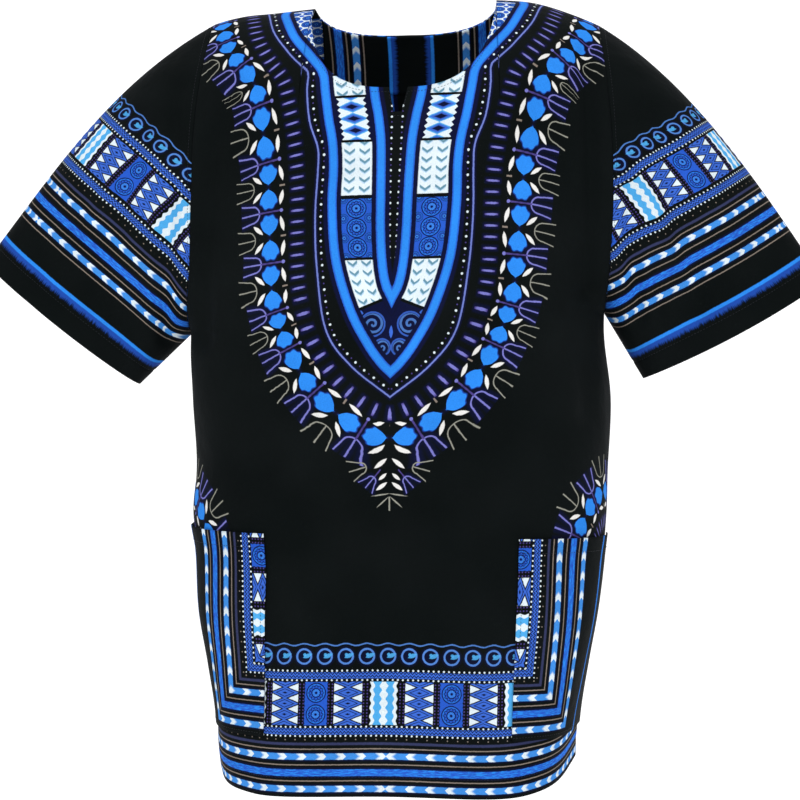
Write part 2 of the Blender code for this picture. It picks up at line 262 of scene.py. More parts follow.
def shoulder_height(across):
    """Height of the shoulder line at a share of the half width; left and right blend at the neck."""
    out = np.abs(across) * SHOULDER_HALF
    left = read_column(SHOULDER_COLUMNS, SHOULDER_ROWS, "out", "left", out)
    right = read_column(SHOULDER_COLUMNS, SHOULDER_ROWS, "out", "right", out)
    weight = np.clip(0.5 + across, 0, 1)
    return left * (1 - weight) + right * weight


def level(line, across):
    """Height of a level line, passing evenly from its left end to its right one."""
    weight = 0.5 + 0.5 * across
    return line[0] * (1 - weight) + line[1] * weight


def drop_to(across, height):
    """Length of cloth from the shoulder line down to this height, below the shoulder's round."""
    return SHOULDER_ROUND * (math.pi / 2 - 1) + shoulder_height(across) - height


def body_points(face, across, drop):
    """Points of the front (face -1) or back (face 1) and their distance from the centre along the cloth.

    height = shoulder - R (1 - cos(drop / R)) over the shoulder's round, then straight down. At each
    height the section is the squared oval |x / w|^p + |y / d|^p = 1, cut off before the armhole, and
    across shares out its length. The depth fades with sin(drop / R) to nothing at the shoulder line.
    """
    turn = np.minimum(drop / SHOULDER_ROUND, math.pi / 2)
    straight = np.maximum(drop - SHOULDER_ROUND * math.pi / 2, 0)
    height = shoulder_height(across) - SHOULDER_ROUND * (1 - np.cos(turn)) - straight
    depth = section("front" if face < 0 else "back", height)
    square = section("square", height)
    centre = section("centre", height)
    edge = np.where(across < 0, centre - section("left", height), section("right", height) - centre)
    rise = np.clip((height - level(ARMHOLE_BOTTOM, np.sign(across))) / ARMHOLE_ROUND, 0, 1)
    share = ARMHOLE_SHARE * np.sqrt(rise * (2 - rise))
    half_width = edge / (1 - share**square) ** (1 / square)
    last_angle = np.arctan2(edge, share * depth)

    angle = last_angle[..., None] * np.linspace(0, 1, ARC_SAMPLES)
    power = square[..., None]
    reach = (np.cos(angle) / depth[..., None]) ** power + (np.sin(angle) / half_width[..., None]) ** power
    reach = reach ** (-1 / power)
    forward = reach * np.cos(angle)
    out = reach * np.sin(angle) * (1 - section("taper", height)[..., None] * forward / depth[..., None])
    forward = forward * np.sin(turn)[..., None]
    steps = np.hypot(np.diff(out), np.diff(forward))
    length = np.concatenate([np.zeros(out.shape[:-1] + (1,)), np.cumsum(steps, axis=-1)], axis=-1)
    wanted = np.abs(across) * (length[..., -1] - SEAM_EASE)
    i = np.clip((length < wanted[..., None]).sum(-1) - 1, 0, ARC_SAMPLES - 2)[..., None]
    before = np.take_along_axis(length, i, -1)
    after = np.take_along_axis(length, i + 1, -1)
    part = (wanted[..., None] - before) / (after - before)
    out = np.take_along_axis(out, i, -1) * (1 - part) + np.take_along_axis(out, i + 1, -1) * part
    forward = (
        np.take_along_axis(forward, i, -1) * (1 - part) + np.take_along_axis(forward, i + 1, -1) * part
    )
    x = centre + np.sign(across) * out[..., 0]
    y = face * forward[..., 0]
    return np.stack([x, y, height], axis=-1), np.sign(across) * wanted


def normals(points):
    """Unit normals of a grid, square to the steps along its columns and down its rows."""
    n = np.cross(np.gradient(points, axis=1), np.gradient(points, axis=0))
    return n / np.linalg.norm(n, axis=-1, keepdims=True)


def folded(points, outward, folds, window):
    """Moves points along their normals by height exp(-(distance to the fold's line / width)^2)."""
    moved = np.zeros(points.shape[:-1])
    for row in folds:
        fold = dict(zip(FOLD_COLUMNS, row))
        line = np.array([fold["x1"] - fold["x0"], fold["z1"] - fold["z0"]])
        offset = points[..., [0, 2]] - np.array([fold["x0"], fold["z0"]])
        nearest = np.clip((offset @ line) / (line @ line), 0, 1)
        distance = np.linalg.norm(offset - nearest[..., None] * line, axis=-1)
        moved += fold["height"] * np.exp(-((distance / fold["width"]) ** 2))
    return points + outward * (moved * window)[..., None]


def soft_step(x):
    """0 below 0, 1 above 1 and 3 x^2 - 2 x^3 between."""
    x = np.clip(x, 0, 1)
    return x * x * (3 - 2 * x)


def panel_grid(face):
    """Shares across and drops down of the fine grid of the front or back, with a column on the
    pocket's inner edge and rows on the armhole's bottom and on the pocket's top and bottom.

    The neck's edge is the curve (across / NECK_SHARE)^p + (top / NECK_DROP)^p = 1 with p NECK_ROUND,
    and the front's slit is a notch with straight sides below it.
    """
    half = [np.zeros(1)]
    for start, end, count in zip(COLUMN_MARKS, COLUMN_MARKS[1:], FINE_COLUMNS):
        half.append(np.linspace(start, end, count + 1)[1:])
    half = np.concatenate(half)
    across = np.concatenate([-half[:0:-1], half])
    share = np.clip(np.abs(across) / NECK_SHARE, 0, 1)
    top = NECK_DROP[face] * (1 - share**NECK_ROUND) ** (1 / NECK_ROUND)
    if face < 0:
        top += SLIT_DEPTH * np.clip((SLIT_MOUTH - np.abs(across)) / (SLIT_MOUTH - SLIT_FLOOR), 0, 1)
    hem = read_column(HEM_COLUMNS, HEM_ROWS, "across", "front" if face < 0 else "back", across)
    marks = [np.maximum(top, SEAM_EASE)]
    for line in (ARMHOLE_BOTTOM, POCKET_TOP, POCKET_BOTTOM):
        marks.append(drop_to(across, level(line, across)))
    marks.append(drop_to(across, hem))
    rows = []
    for i, count in enumerate(FINE_ROWS):
        share = np.arange(count)[:, None] / count
        rows.append(marks[i] * (1 - share) + marks[i + 1] * share)
    rows.append(marks[-1][None, :])
    drop = np.concatenate(rows)
    return np.broadcast_to(across, drop.shape), drop


def panel(face, folds, creases):
    """The grid of a panel's outer face, its outward normals and its cloth lengths in millimetres:
    out from the centre line, down from the shoulder line and up from the hem.

    The hem's stitches draw the cloth in by HEM_DIP exp(-((up - HEM_STITCH) / HEM_DIP_WIDTH)^2).
    """
    across, drop = panel_grid(face)
    points, out = body_points(face, across, drop)
    outward = normals(points) * face
    window = soft_step((1 - np.abs(across)) / FOLD_FADE_SIDE) * soft_step(drop / FOLD_FADE_TOP)
    points = folded(points, outward, folds, window)
    points = folded(points, outward, creases, window)
    up = drop[-1] - drop
    dip = HEM_DIP * np.exp(-(((up - HEM_STITCH) / HEM_DIP_WIDTH) ** 2))
    points = points - outward * dip[..., None]
    return points, normals(points) * face, {"out": out * 1000, "down": drop * 1000, "up": up * 1000}


def cloth_piece(name, points, materials, maps, slots=None, closed=False, flip=False):
    """A cotton wall from a grid of points on its outer face, with UV maps from pairs of grids in
    millimetres. A closed grid joins its last column to its first, and its maps have one column more."""
    rows, columns = points.shape[:2]
    index = np.arange(rows * columns).reshape(rows, columns)
    if closed:
        index = np.concatenate([index, index[:, :1]], axis=1)
    place = np.arange(index.size).reshape(index.shape)
    corners = []
    for grid in (index, place):
        quads = grid_quads(grid)
        corners.append(quads[:, ::-1] if flip else quads)
    mesh = bpy.data.meshes.new(name)
    mesh.from_pydata(points.reshape(-1, 3).tolist(), [], corners[0].tolist())
    for map_name, (u, v) in maps.items():
        layer = mesh.uv_layers.new(name=map_name)
        pairs = np.stack([np.broadcast_to(u, index.shape), np.broadcast_to(v, index.shape)], axis=-1)
        pairs = pairs.reshape(-1, 2)[corners[1].ravel()]
        layer.data.foreach_set("uv", pairs.astype(np.float32).ravel())
    for material in materials:
        mesh.materials.append(material)
    if slots is not None:
        mesh.polygons.foreach_set("material_index", np.asarray(slots, np.int32).ravel())
    mesh.shade_smooth()
    piece = placed(name, mesh)
    wall = piece.modifiers.new("wall", "SOLIDIFY")
    wall.thickness = CLOTH
    wall.offset = -1
    wall.use_even_offset = False
    return piece


def flat_map(u, v):
    """Two grids of cloth lengths squeezed into the unit square, for the piece's own flat layout."""
    u = (u - u.min()) / (u.max() - u.min())
    v = (v - v.min()) / (v.max() - v.min())
    return FLAT_MARGIN + (1 - 2 * FLAT_MARGIN) * u, FLAT_MARGIN + (1 - 2 * FLAT_MARGIN) * v


def as_sheet(piece, node, points, closed=False):
    """Works out the cloth's area on the piece's own grid, the sum of its faces' mean width times their
    mean height, which nothing reads; attaches the piece to the root and hides the model part it stands
    for."""
    if closed:
        points = np.concatenate([points, points[:, :1]], axis=1)
    across = np.linalg.norm(np.diff(points, axis=1), axis=-1)
    down = np.linalg.norm(np.diff(points, axis=0), axis=-1)
    area = (0.5 * (across[1:] + across[:-1]) * 0.5 * (down[:, 1:] + down[:, :-1])).sum()
    area = round(float(area), 4)
    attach(piece, "root")
    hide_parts(node)


# ---- The front: its dyes and how a print is drawn -----------------------------------------------
# Printed plain-weave cotton: flat dyes with slightly uneven edges, and a dark halo where they meet
# the black ground. Every motif is a formula in millimetres of cloth.

BLACK = (0.0022, 0.0036, 0.0037)
NAVY = (0.0030, 0.0046, 0.0300)
DUSK = (0.0300, 0.0360, 0.0950)
BLUE = (0.0230, 0.2200, 0.7400)
COBALT = (0.0180, 0.0880, 0.5000)
ROYAL = (0.0400, 0.1250, 0.5600)
PALE = (0.0750, 0.2000, 0.5600)
AZURE = (0.0450, 0.2350, 0.6600)
SKY = (0.0700, 0.3600, 0.7200)
WHITE = (0.6600, 0.7500, 0.8000)
IVORY = (0.7200, 0.7100, 0.6900)
CORD = (0.1400, 0.1850, 0.5200)
LAVENDER = (0.1700, 0.1700, 0.5000)
PURPLE = (0.0650, 0.0480, 0.2100)
TAN = (0.2200, 0.1800, 0.1500)
GREY = (0.2600, 0.2600, 0.2200)
TEAL = (0.1100, 0.2500, 0.3400)
# Pale grey-blue for broad patches on the black cloth: partly wear, partly painted sheen where its soft
# folds would catch the light.
PAINTED_SHEEN_AND_WEAR = (0.5000, 0.5600, 0.6000)
PAINTED_SHEEN_AND_WEAR_SHARE = 0.004
EDGE = 0.45
WAVER = 0.7
NOISES = {"waver": 0.42, "threads": 2.2, "patches": 0.02, "painted_sheen_and_wear": 0.008, "crumple": 0.028}
WEFT = (0.16, 1.0)
WARP = (1.0, 0.16)
SHADE = {"weave": 0.34, "patches": 0.42, "least": 0.45}
RELIEF = {"weave": 0.30, "crumple": 9.0}


class Ink:
    """A number worked out at each point of the cloth. Arithmetic on it adds Math nodes."""

    def __init__(self, tree, socket):
        self.tree = tree
        self.socket = socket

    def math(self, operation, *others, clamp=False):
        """The Math node of this name on this number and the others, which may be plain numbers."""
        node = self.tree.nodes.new("ShaderNodeMath")
        node.operation = operation
        node.use_clamp = clamp
        for i, value in enumerate((self, *others)):
            if isinstance(value, Ink):
                self.tree.links.new(value.socket, node.inputs[i])
            else:
                node.inputs[i].default_value = value
        return Ink(self.tree, node.outputs[0])

    def __add__(self, other):
        return self.math("ADD", other)

    def __sub__(self, other):
        return self.math("SUBTRACT", other)

    def __mul__(self, other):
        return self.math("MULTIPLY", other)

    def __abs__(self):
        return self.math("ABSOLUTE")

    def plus(self, other, times):
        """self + other * times in one node."""
        return other.math("MULTIPLY_ADD", times, self)


def inside(gap, limit=0.0, soft=EDGE):
    """1 where gap < limit, 0 where it is above, over a soft edge: (limit - gap) / soft + 1/2, clamped."""
    return gap.math("MULTIPLY_ADD", -1 / soft, 0.5 + limit / soft, clamp=True)


def beyond(gap, limit=0.0, soft=EDGE):
    """1 where gap > limit, over the same soft edge."""
    return gap.math("MULTIPLY_ADD", 1 / soft, 0.5 - limit / soft, clamp=True)


def stripe(x, at, half, soft=EDGE):
    """1 where |x - at| < half."""
    return inside(abs(x - at), half, soft)


def every(x, period, at=0.0):
    """x measured from the nearest multiple of the period past at, from -period/2 to period/2."""
    shifted = x - at if at else x
    return shifted.math("WRAP", period / 2, -period / 2)


def both_ways(x, period, at=0.0):
    """Distance of x from the nearest multiple of the period past at, from 0 to period/2."""
    shifted = x - at if at else x
    return shifted.math("PINGPONG", period / 2)


def far(x, y):
    """sqrt(x^2 + y^2)."""
    return x.math("MULTIPLY_ADD", x, y * y).math("SQRT")


def turned(x, y, degrees):
    """The two lengths on axes turned by an angle."""
    cos = math.cos(math.radians(degrees))
    sin = math.sin(math.radians(degrees))
    return (x * cos).plus(y, sin), (y * cos).plus(x, -sin)


def leaf(x, y, long, wide, soft=0.3):
    """A leaf along x with two points: |y| / wide + (x / long)^2 < 1."""
    x = x * (1 / long)
    return inside((x * x).plus(abs(y), 1 / wide), 1.0, soft)


def fork(x, y, half, deep, thick, flare=0.16, soft=EDGE):
    """A three-pronged fork opening along +y: a U of half width half, closed by a half circle and
    flaring towards its open end, and a straight middle prong."""
    straight = (y - half).math("MAXIMUM", 0.0)
    bow = abs(far(x, (y - half).math("MINIMUM", 0.0)).plus(straight, -flare) - half)
    prongs = inside(bow.math("MINIMUM", abs(x)), thick, soft)
    return prongs * inside(y, deep) * beyond(y, -thick)


class Dyes:
    """The cloth's colour so far. Each dip prints one more colour over it, or several kept to an area."""

    def __init__(self, tree, colour):
        self.tree = tree
        self.colour = colour

    def dip(self, mask, colour, strength=1.0):
        """Prints one colour where the mask is 1."""
        mix = self.tree.nodes.new("ShaderNodeMix")
        mix.data_type = "RGBA"
        if strength != 1.0:
            mask = mask * strength
        self.tree.links.new(mask.socket, mix.inputs["Factor"])
        for socket, value in ((mix.inputs["A"], self.colour), (mix.inputs["B"], colour)):
            if isinstance(value, tuple):
                socket.default_value = (*value, 1)
            else:
                self.tree.links.new(value, socket)
        self.colour = mix.outputs["Result"]

    def area(self, mask, ground):
        """A patch of another ground colour; its own motifs are dipped between the with lines."""
        return DyedArea(self, mask, ground)


class DyedArea:
    """A patch of cloth with its own ground, put back into the whole where its mask is 1."""

    def __init__(self, dyes, mask, ground):
        self.dyes = dyes
        self.mask = mask
        self.whole = dyes.colour
        self.ground = ground

    def __enter__(self):
        self.dyes.colour = self.ground
        return self.dyes

    def __exit__(self, *_):
        patch = self.dyes.colour
        self.dyes.colour = self.whole
        self.dyes.dip(self.mask, patch)


def uv_lengths(tree, name):
    """The u and v of one of the piece's UV maps."""
    uv = tree.nodes.new("ShaderNodeUVMap")
    uv.uv_map = name
    split = tree.nodes.new("ShaderNodeSeparateXYZ")
    tree.links.new(uv.outputs["UV"], split.inputs[0])
    return Ink(tree, split.outputs[0]), Ink(tree, split.outputs[1])


class PrintMaps:
    """The two lengths of each UV map, with the printed edge's small waver added."""

    def __init__(self, tree):
        self.tree = tree
        split = tree.nodes.new("ShaderNodeSeparateXYZ")
        tree.links.new(self.noise("waver", 2.0, "Color").socket, split.inputs[0])
        self.waver = [Ink(tree, split.outputs[i]) * WAVER for i in (0, 1)]

    def noise(self, name, detail, output="Fac", stretch=None):
        """One of the noises on the cloth map, drawn out along one way if given."""
        uv = self.tree.nodes.new("ShaderNodeUVMap")
        uv.uv_map = "cloth"
        source = uv.outputs["UV"]
        if stretch:
            mapping = self.tree.nodes.new("ShaderNodeMapping")
            mapping.inputs["Scale"].default_value = (*stretch, 1)
            self.tree.links.new(source, mapping.inputs["Vector"])
            source = mapping.outputs["Vector"]
        noise = self.tree.nodes.new("ShaderNodeTexNoise")
        noise.inputs["Scale"].default_value = NOISES[name]
        noise.inputs["Detail"].default_value = detail
        self.tree.links.new(source, noise.inputs["Vector"])
        return Ink(self.tree, noise.outputs[output])

    def wavering(self, name):
        """The map's u and v, each moved by the waver."""
        u, v = uv_lengths(self.tree, name)
        return u + self.waver[0] - WAVER / 2, v + self.waver[1] - WAVER / 2


def add_relief(tree, surface, height, strength, deep):
    """Dents the surface's normal by a height, so deep in metres."""
    bump = tree.nodes.new("ShaderNodeBump")
    bump.inputs["Strength"].default_value = strength
    bump.inputs["Distance"].default_value = deep
    tree.links.new(height.socket, bump.inputs["Height"])
    tree.links.new(bump.outputs["Normal"], surface.inputs["Normal"])


def printed_cotton(name, draw, painted_light_gain=1.0):
    """Printed plain-weave cotton: the drawn dyes, with broad pale patches that are partly wear and partly
    painted sheen on soft folds, made uneven by the weave, with the relief of crossing threads and of soft
    crumpling. The last argument brightens all its colours as painted light, for a piece that lies in
    shade."""
    material, tree, surface = new_material(name)
    maps = PrintMaps(tree)
    dyes = Dyes(tree, BLACK)
    draw(dyes, maps)
    # Broad pale patches over the black: partly wear, partly painted sheen on soft folds.
    dyes.dip(beyond(maps.noise("painted_sheen_and_wear", 2.0), 0.54, 0.30), PAINTED_SHEEN_AND_WEAR, PAINTED_SHEEN_AND_WEAR_SHARE)

    weave = maps.noise("threads", 1.0, stretch=WEFT) + maps.noise("threads", 1.0, stretch=WARP)
    patches = maps.noise("patches", 3.0)
    # The gain scales the whole colour; above 1 it is painted light that brightens a piece lying in shade.
    shade = (weave * (SHADE["weave"] * painted_light_gain)).plus(patches, SHADE["patches"] * painted_light_gain)
    tint = tree.nodes.new("ShaderNodeVectorMath")
    tint.operation = "SCALE"
    tree.links.new(dyes.colour, tint.inputs[0])
    tree.links.new((shade + SHADE["least"] * painted_light_gain).socket, tint.inputs["Scale"])
    tree.links.new(tint.outputs["Vector"], surface.inputs["Base Color"])

    crumple = maps.noise("crumple", 3.0) * RELIEF["crumple"]
    add_relief(tree, surface, crumple.plus(weave, RELIEF["weave"]), 0.32, 0.001)
    tree.links.new((patches * 0.14 + 0.74).socket, surface.inputs["Roughness"])
    surface.inputs["Specular IOR Level"].default_value = 0.04
    surface.inputs["Sheen Weight"].default_value = 0.012
    surface.inputs["Sheen Roughness"].default_value = 0.45
    surface.inputs["Sheen Tint"].default_value = (0.55, 0.62, 0.75, 1)
    return material


# ---- The front: the yoke ------------------------------------------------------------------------
# Bands of blue, lavender and white dots hang round the neck like a necklace and meet in a point on
# the chest. Between the two blue bands stand blocks of chevrons, diamonds and rosettes over a panel
# of scrolls. Each path is given on the right half, from the shoulder to the centre line, and the
# left half mirrors it.

PATH_COLUMNS = ("out", "down")
LAVENDER_PATH = (
    (136, 20), (127, 70), (110, 102), (96, 119), (88, 128), (88, 148), (84, 178), (75, 204),
    (74, 226), (75, 270), (72, 320), (62, 379), (38, 413), (0, 443.5),
)
OUTER_PATH = (
    (117, 20), (117, 42), (106, 81), (88, 109), (74, 129), (70, 150), (66, 175), (61, 200),
    (59, 225), (59, 262), (54, 313), (39, 361), (22, 393), (9, 411), (0, 420),
)
INNER_PATH = (
    (30, 60), (26, 110), (23, 150), (18, 176), (14.5, 204), (13, 250), (12.3, 285), (10.2, 315),
    (6.4, 336), (0, 350),
)
DASH_PATH = (
    (152, 20), (143, 76), (127, 110), (112, 133), (106, 155), (98, 195), (93, 240), (92, 290),
    (89, 339), (77, 385), (53, 424), (28, 447), (10, 457), (0, 459),
)
CHAIN_PATH = (
    (181, 25), (179, 55), (171, 88), (155, 114), (142, 132), (134, 158), (129, 188), (123, 222),
    (121, 255), (118, 300), (115, 345), (104, 382), (86, 418), (62, 448), (38, 467), (17, 480), (0, 482),
)
CHAIN_PINS = (28.5, 87.5, 137.0, 176.5, 225.0, 274.5, 323.0, 381.5, 431.0, 471.0)
CHAIN_STEP = 46.5
DASH_LENGTHS = (-20.0, 150.0, 900.0)
DASH_PLACES = (-14.3, 107.1, 857.1)
PATH_SAMPLES = 10
SIDE_ARC = {"out": 262.0, "down": 600.0, "radius": 78.0}
SIDE_MOTIF = {"out": 136.0, "down": 470.0}
CHAIN_TO_DASHES = 28.0
BAND_HALF = 4.4
BAND_NAVY = 8.4
DOT_STEP = 11.8
TONGUE_DOTS_END = 334.0
TONGUE_DOTS_ASIDE = 8.0
BLOCK_WIDE = 28.0
BLOCKS = {
    "net": (80.0, 52.5),
    "upper_chevrons": (144.5, 10.0),
    "diamonds": (177.5, 20.5),
    "lower_chevrons": (226.0, 25.5),
    "rosettes": (283.0, 28.0),
}
LAST_CHEVRONS = (313.5, 346.5)
SCROLLS_FROM = 349.5
BLOCK_SLANT = -0.40
NET_STEP = 13.0
ROSETTE_STEP = 18.7
CHEVRON_STEP = 9.1
SCROLL_COLUMNS = ("out", "down", "radius", "pitch", "hand")
SCROLLS = (
    (17.6, 374.6, 10.2, 5.8, 1.0),
    (8.4, 396.5, 6.6, 4.6, -1.0),
)


def beside_path(out, down, path):
    """How far each point lies along a path, from its low end, and how far outside it.

    The path is the cubic through its points with the neighbours' slopes. The nearest point is found
    on its chords, and the last chord runs on past the centre line, so that a point stays sharp.
    """
    knots = np.array(path, float)
    t = np.linspace(0, len(knots) - 1, (len(knots) - 1) * PATH_SAMPLES + 1)
    rows = [(i, *knot) for i, knot in enumerate(path)]
    columns = ("knot",) + PATH_COLUMNS
    line = np.stack([read_column(columns, rows, "knot", name, t) for name in PATH_COLUMNS], axis=-1)
    line = np.concatenate([line, line[-1:] + 8 * (line[-1:] - line[-2:-1])])
    steps = np.diff(line, axis=0)
    long = np.linalg.norm(steps, axis=1)
    so_far = np.concatenate([[0], np.cumsum(long)])
    points = np.stack([np.abs(out), down], axis=-1).reshape(-1, 2)
    best = np.full(len(points), np.inf)
    along = np.zeros(len(points))
    beside = np.zeros(len(points))
    for start, step, size, before in zip(line, steps, long, so_far):
        offset = points - start
        share = np.clip(offset @ step / size**2, 0, 1)
        gap = offset - share[:, None] * step
        distance = np.hypot(gap[:, 0], gap[:, 1])
        side = np.sign(offset[:, 0] * step[1] - offset[:, 1] * step[0])
        nearer = distance < best
        best = np.where(nearer, distance, best)
        along = np.where(nearer, so_far[-2] - before - share * size, along)
        beside = np.where(nearer, side * distance, beside)
    return along.reshape(out.shape), beside.reshape(out.shape)


def above_pocket(out, down):
    """Where on the panel the chain turns above a pocket instead of hanging from the shoulder."""
    return (np.abs(out) > SIDE_MOTIF["out"]) & (down > SIDE_MOTIF["down"])


def yoke_maps(lengths):
    """The panel's maps for the yoke: beside the lavender line, across the two bands, and beside the
    dashes and the flower chain, which a part circle repeats above each pocket. The dashes stand
    closer near the point, and the chain is stretched so that its pins fall on their own places."""
    out, down = lengths["out"], lengths["down"]
    _, outer = beside_path(out, down, OUTER_PATH)
    _, inner = beside_path(out, down, INNER_PATH)
    dash_along, dash_beside = beside_path(out, down, DASH_PATH)
    dash_along = np.interp(dash_along, DASH_LENGTHS, DASH_PLACES)
    along, beside = beside_path(out, down, CHAIN_PATH)
    pins = [0.0, *CHAIN_PINS, CHAIN_PINS[-1] + len(CHAIN_PINS) * CHAIN_STEP]
    steps = [0.0, *(np.arange(len(CHAIN_PINS)) + 0.5), 2 * len(CHAIN_PINS) - 0.5]
    along = np.interp(along, pins, np.array(steps) * CHAIN_STEP)
    aside = np.abs(out) - SIDE_ARC["out"]
    below = down - SIDE_ARC["down"]
    arc = SIDE_ARC["radius"] * np.arctan2(-below, -aside)
    from_arc = np.hypot(aside, below) - SIDE_ARC["radius"]
    turns = above_pocket(out, down)
    dash_from_arc = from_arc + CHAIN_TO_DASHES
    return {
        "necklace": beside_path(out, down, LAVENDER_PATH),
        "dashes": (np.where(turns, arc, dash_along), np.where(turns, dash_from_arc, dash_beside)),
        "bands": (outer, inner),
        "chain": (np.where(turns, arc, along), np.where(turns, from_arc, beside)),
    }


def blue_band(dyes, beside):
    """A bright blue band, deeper towards its edges, in a navy edge."""
    dyes.dip(stripe(beside, 0.0, BAND_NAVY, 1.6), NAVY)
    dyes.dip(stripe(beside, 0.0, BAND_HALF), COBALT)
    dyes.dip(stripe(beside, 0.0, BAND_HALF - 1.2, 1.6), BLUE)


def dot_row(dyes, along, beside, at, size, dim, step=DOT_STEP):
    """A row of white dots with a small dim one between each two."""
    beside = beside - at
    dyes.dip(inside(far(every(along, step), beside), size), WHITE)
    dyes.dip(inside(far(every(along, step, step / 2), beside), size * 0.6), dim)


def chevrons(dyes, share, along):
    """Two columns of grey-blue V marks on white, where along + 0.7 aside is a multiple of the step."""
    aside = both_ways(share, 0.5, 0.25) * 30.0
    bent = every(along + aside * 0.7, CHEVRON_STEP)
    dyes.dip(stripe(bent, 0.0, 1.35, 0.8) * inside(aside, 5.3), TEAL)
    dyes.dip(stripe(bent, 1.9, 0.5) * inside(aside, 5.0), SKY, 0.45)


def diamond_ring(aside, along, step, half):
    """|aside| / half + |along| * 2 / step: 1 on the edges of a column of diamonds, 2 at the sides
    between two of them."""
    return (both_ways(along, step) * (2 / step)).plus(aside, 1 / half)


def diamonds(dyes, aside, along, step, half):
    """A column of blue diamonds inside each other between white teeth."""
    ring = diamond_ring(aside, along, step, half)
    dyes.dip(stripe(ring, 0.42, 0.22, 0.09), ROYAL)
    dyes.dip(stripe(ring, 0.92, 0.15, 0.09), ROYAL)
    dyes.dip(beyond(ring, 1.30, 0.09), WHITE)


def pale_diamonds(dyes, aside, along, step, half):
    """A column of diamonds on white, pale to navy inwards, with dark notches at the sides."""
    ring = diamond_ring(aside, along, step, half)
    dyes.dip(inside(ring, 1.0, 0.09), SKY)
    dyes.dip(inside(ring, 0.80, 0.20), ROYAL)
    dyes.dip(inside(ring, 0.46, 0.20), NAVY)
    notch = aside.plus(both_ways(along, step / 2), -0.9)
    dyes.dip(beyond(notch, half - 2.6), NAVY)


def rosettes(dyes, x, y, radius):
    """A rosette in navy lines: a rim, a ring of twelve lobes r = R (0.7 + 0.09 cos 12 a), two inner
    rings and a dot."""
    r = far(x, y)
    lobes = (y.math("ARCTAN2", x) * 12.0).math("COSINE")
    dyes.dip(stripe(r, 0.95 * radius, 0.05 * radius), NAVY)
    dyes.dip(stripe(r.plus(lobes, -0.09 * radius), 0.70 * radius, 0.07 * radius), NAVY, 0.85)
    dyes.dip(stripe(r, 0.44 * radius, 0.05 * radius), NAVY)
    dyes.dip(stripe(r.plus(lobes, 0.06 * radius), 0.26 * radius, 0.06 * radius), AZURE)
    dyes.dip(stripe(r, 0.82 * radius, 0.04 * radius), BLUE, 0.6)
    dyes.dip(inside(r, 0.12 * radius), NAVY)


def scroll(dyes, out, down, curl):
    """A curl in a ring: the spiral r = pitch * angle / 2 pi, up to a radius, turning either way."""
    x, y = out - curl["out"], down - curl["down"]
    pitch, radius = curl["pitch"], curl["radius"]
    r = far(x, y)
    turn = y.math("ARCTAN2", x)
    line = abs(every(r.plus(turn, -curl["hand"] * pitch / (2 * math.pi)), pitch))
    dyes.dip(inside(line, 0.2 * pitch) * inside(r, radius), PALE, 0.7)
    dyes.dip(stripe(r, radius + 1.2, 0.8), ROYAL, 0.7)


def draw_yoke(dyes, maps):
    """Everything inside the lavender line, that line included."""
    out, down = maps.wavering("cloth")
    out = abs(out)
    along, beside = maps.wavering("necklace")
    outer, inner = maps.wavering("bands")

    from_outer = (outer * -1.0) - BAND_NAVY
    from_inner = inner - BAND_NAVY
    between = inside(from_outer * -1.0) * inside(from_inner * -1.0)
    share = from_outer.math("DIVIDE", from_outer + from_inner)
    across = (share - 0.5) * BLOCK_WIDE
    slanted = down.plus(out, BLOCK_SLANT)

    with dyes.area(between * stripe(down, *BLOCKS["net"]), WHITE):
        net_out, net_down = every(out, NET_STEP, 3.0), every(down, NET_STEP)
        dyes.dip(inside(far(net_out, net_down), 5.6), COBALT)
        rosettes(dyes, net_out, net_down, 5.4)
        dyes.dip(inside(far(every(out, NET_STEP, 9.5), every(down, NET_STEP, 6.5)), 2.6), ROYAL)
    with dyes.area(between * stripe(down, *BLOCKS["upper_chevrons"]), WHITE):
        chevrons(dyes, share, down)
    with dyes.area(between * stripe(down, *BLOCKS["diamonds"]), WHITE):
        pale_diamonds(dyes, abs(across), down - BLOCKS["diamonds"][0], 11.6, 13.0)
    with dyes.area(between * stripe(down, *BLOCKS["lower_chevrons"]), WHITE):
        chevrons(dyes, share, down - 2.0)
    with dyes.area(between * stripe(down, *BLOCKS["rosettes"]), COBALT):
        centre = BLOCKS["rosettes"][0]
        rosettes(dyes, across, every(down, ROSETTE_STEP, centre), 9.4)
        rosettes(dyes, abs(across) - 12.0, every(down, ROSETTE_STEP, centre - 9.4), 4.6)
    with dyes.area(between * beyond(down, LAST_CHEVRONS[0]) * inside(slanted, LAST_CHEVRONS[1]), WHITE):
        chevrons(dyes, share, down)
    within = inside(outer, -BAND_NAVY) * beyond(inner, BAND_NAVY)
    with dyes.area(within * beyond(slanted, SCROLLS_FROM), NAVY):
        for row in SCROLLS:
            scroll(dyes, out, down, dict(zip(SCROLL_COLUMNS, row)))
        dyes.dip(leaf(down - 382.0, out, 6.0, 1.7), ROYAL)
        dyes.dip(leaf(out - 31.0, down - 364.0, 4.5, 3.2), ROYAL)
        dyes.dip(stripe(outer, -13.6, 0.45) * beyond(down, 402.0), TAN)

    with dyes.area(inside(inner, -BAND_NAVY) * inside(down, TONGUE_DOTS_END), BLACK):
        dot_row(dyes, down, out.plus(down, 0.0163), TONGUE_DOTS_ASIDE, 1.05, PURPLE, 10.4)
    blue_band(dyes, inner)
    blue_band(dyes, outer)
    dot_row(dyes, along, beside, -5.3, 1.15, PURPLE)
    dyes.dip(stripe(beside, 0.0, 2.4, 1.6), NAVY)
    dyes.dip(stripe(beside, 0.0, 0.8), CORD)


# ---- The front: the flower chain ----------------------------------------------------------------
# Outside the lavender line come short dashes and a chain of paired shell flowers with white leaves,
# pins and three-pronged forks, and a fern below the point. The same chain turns above the pockets.

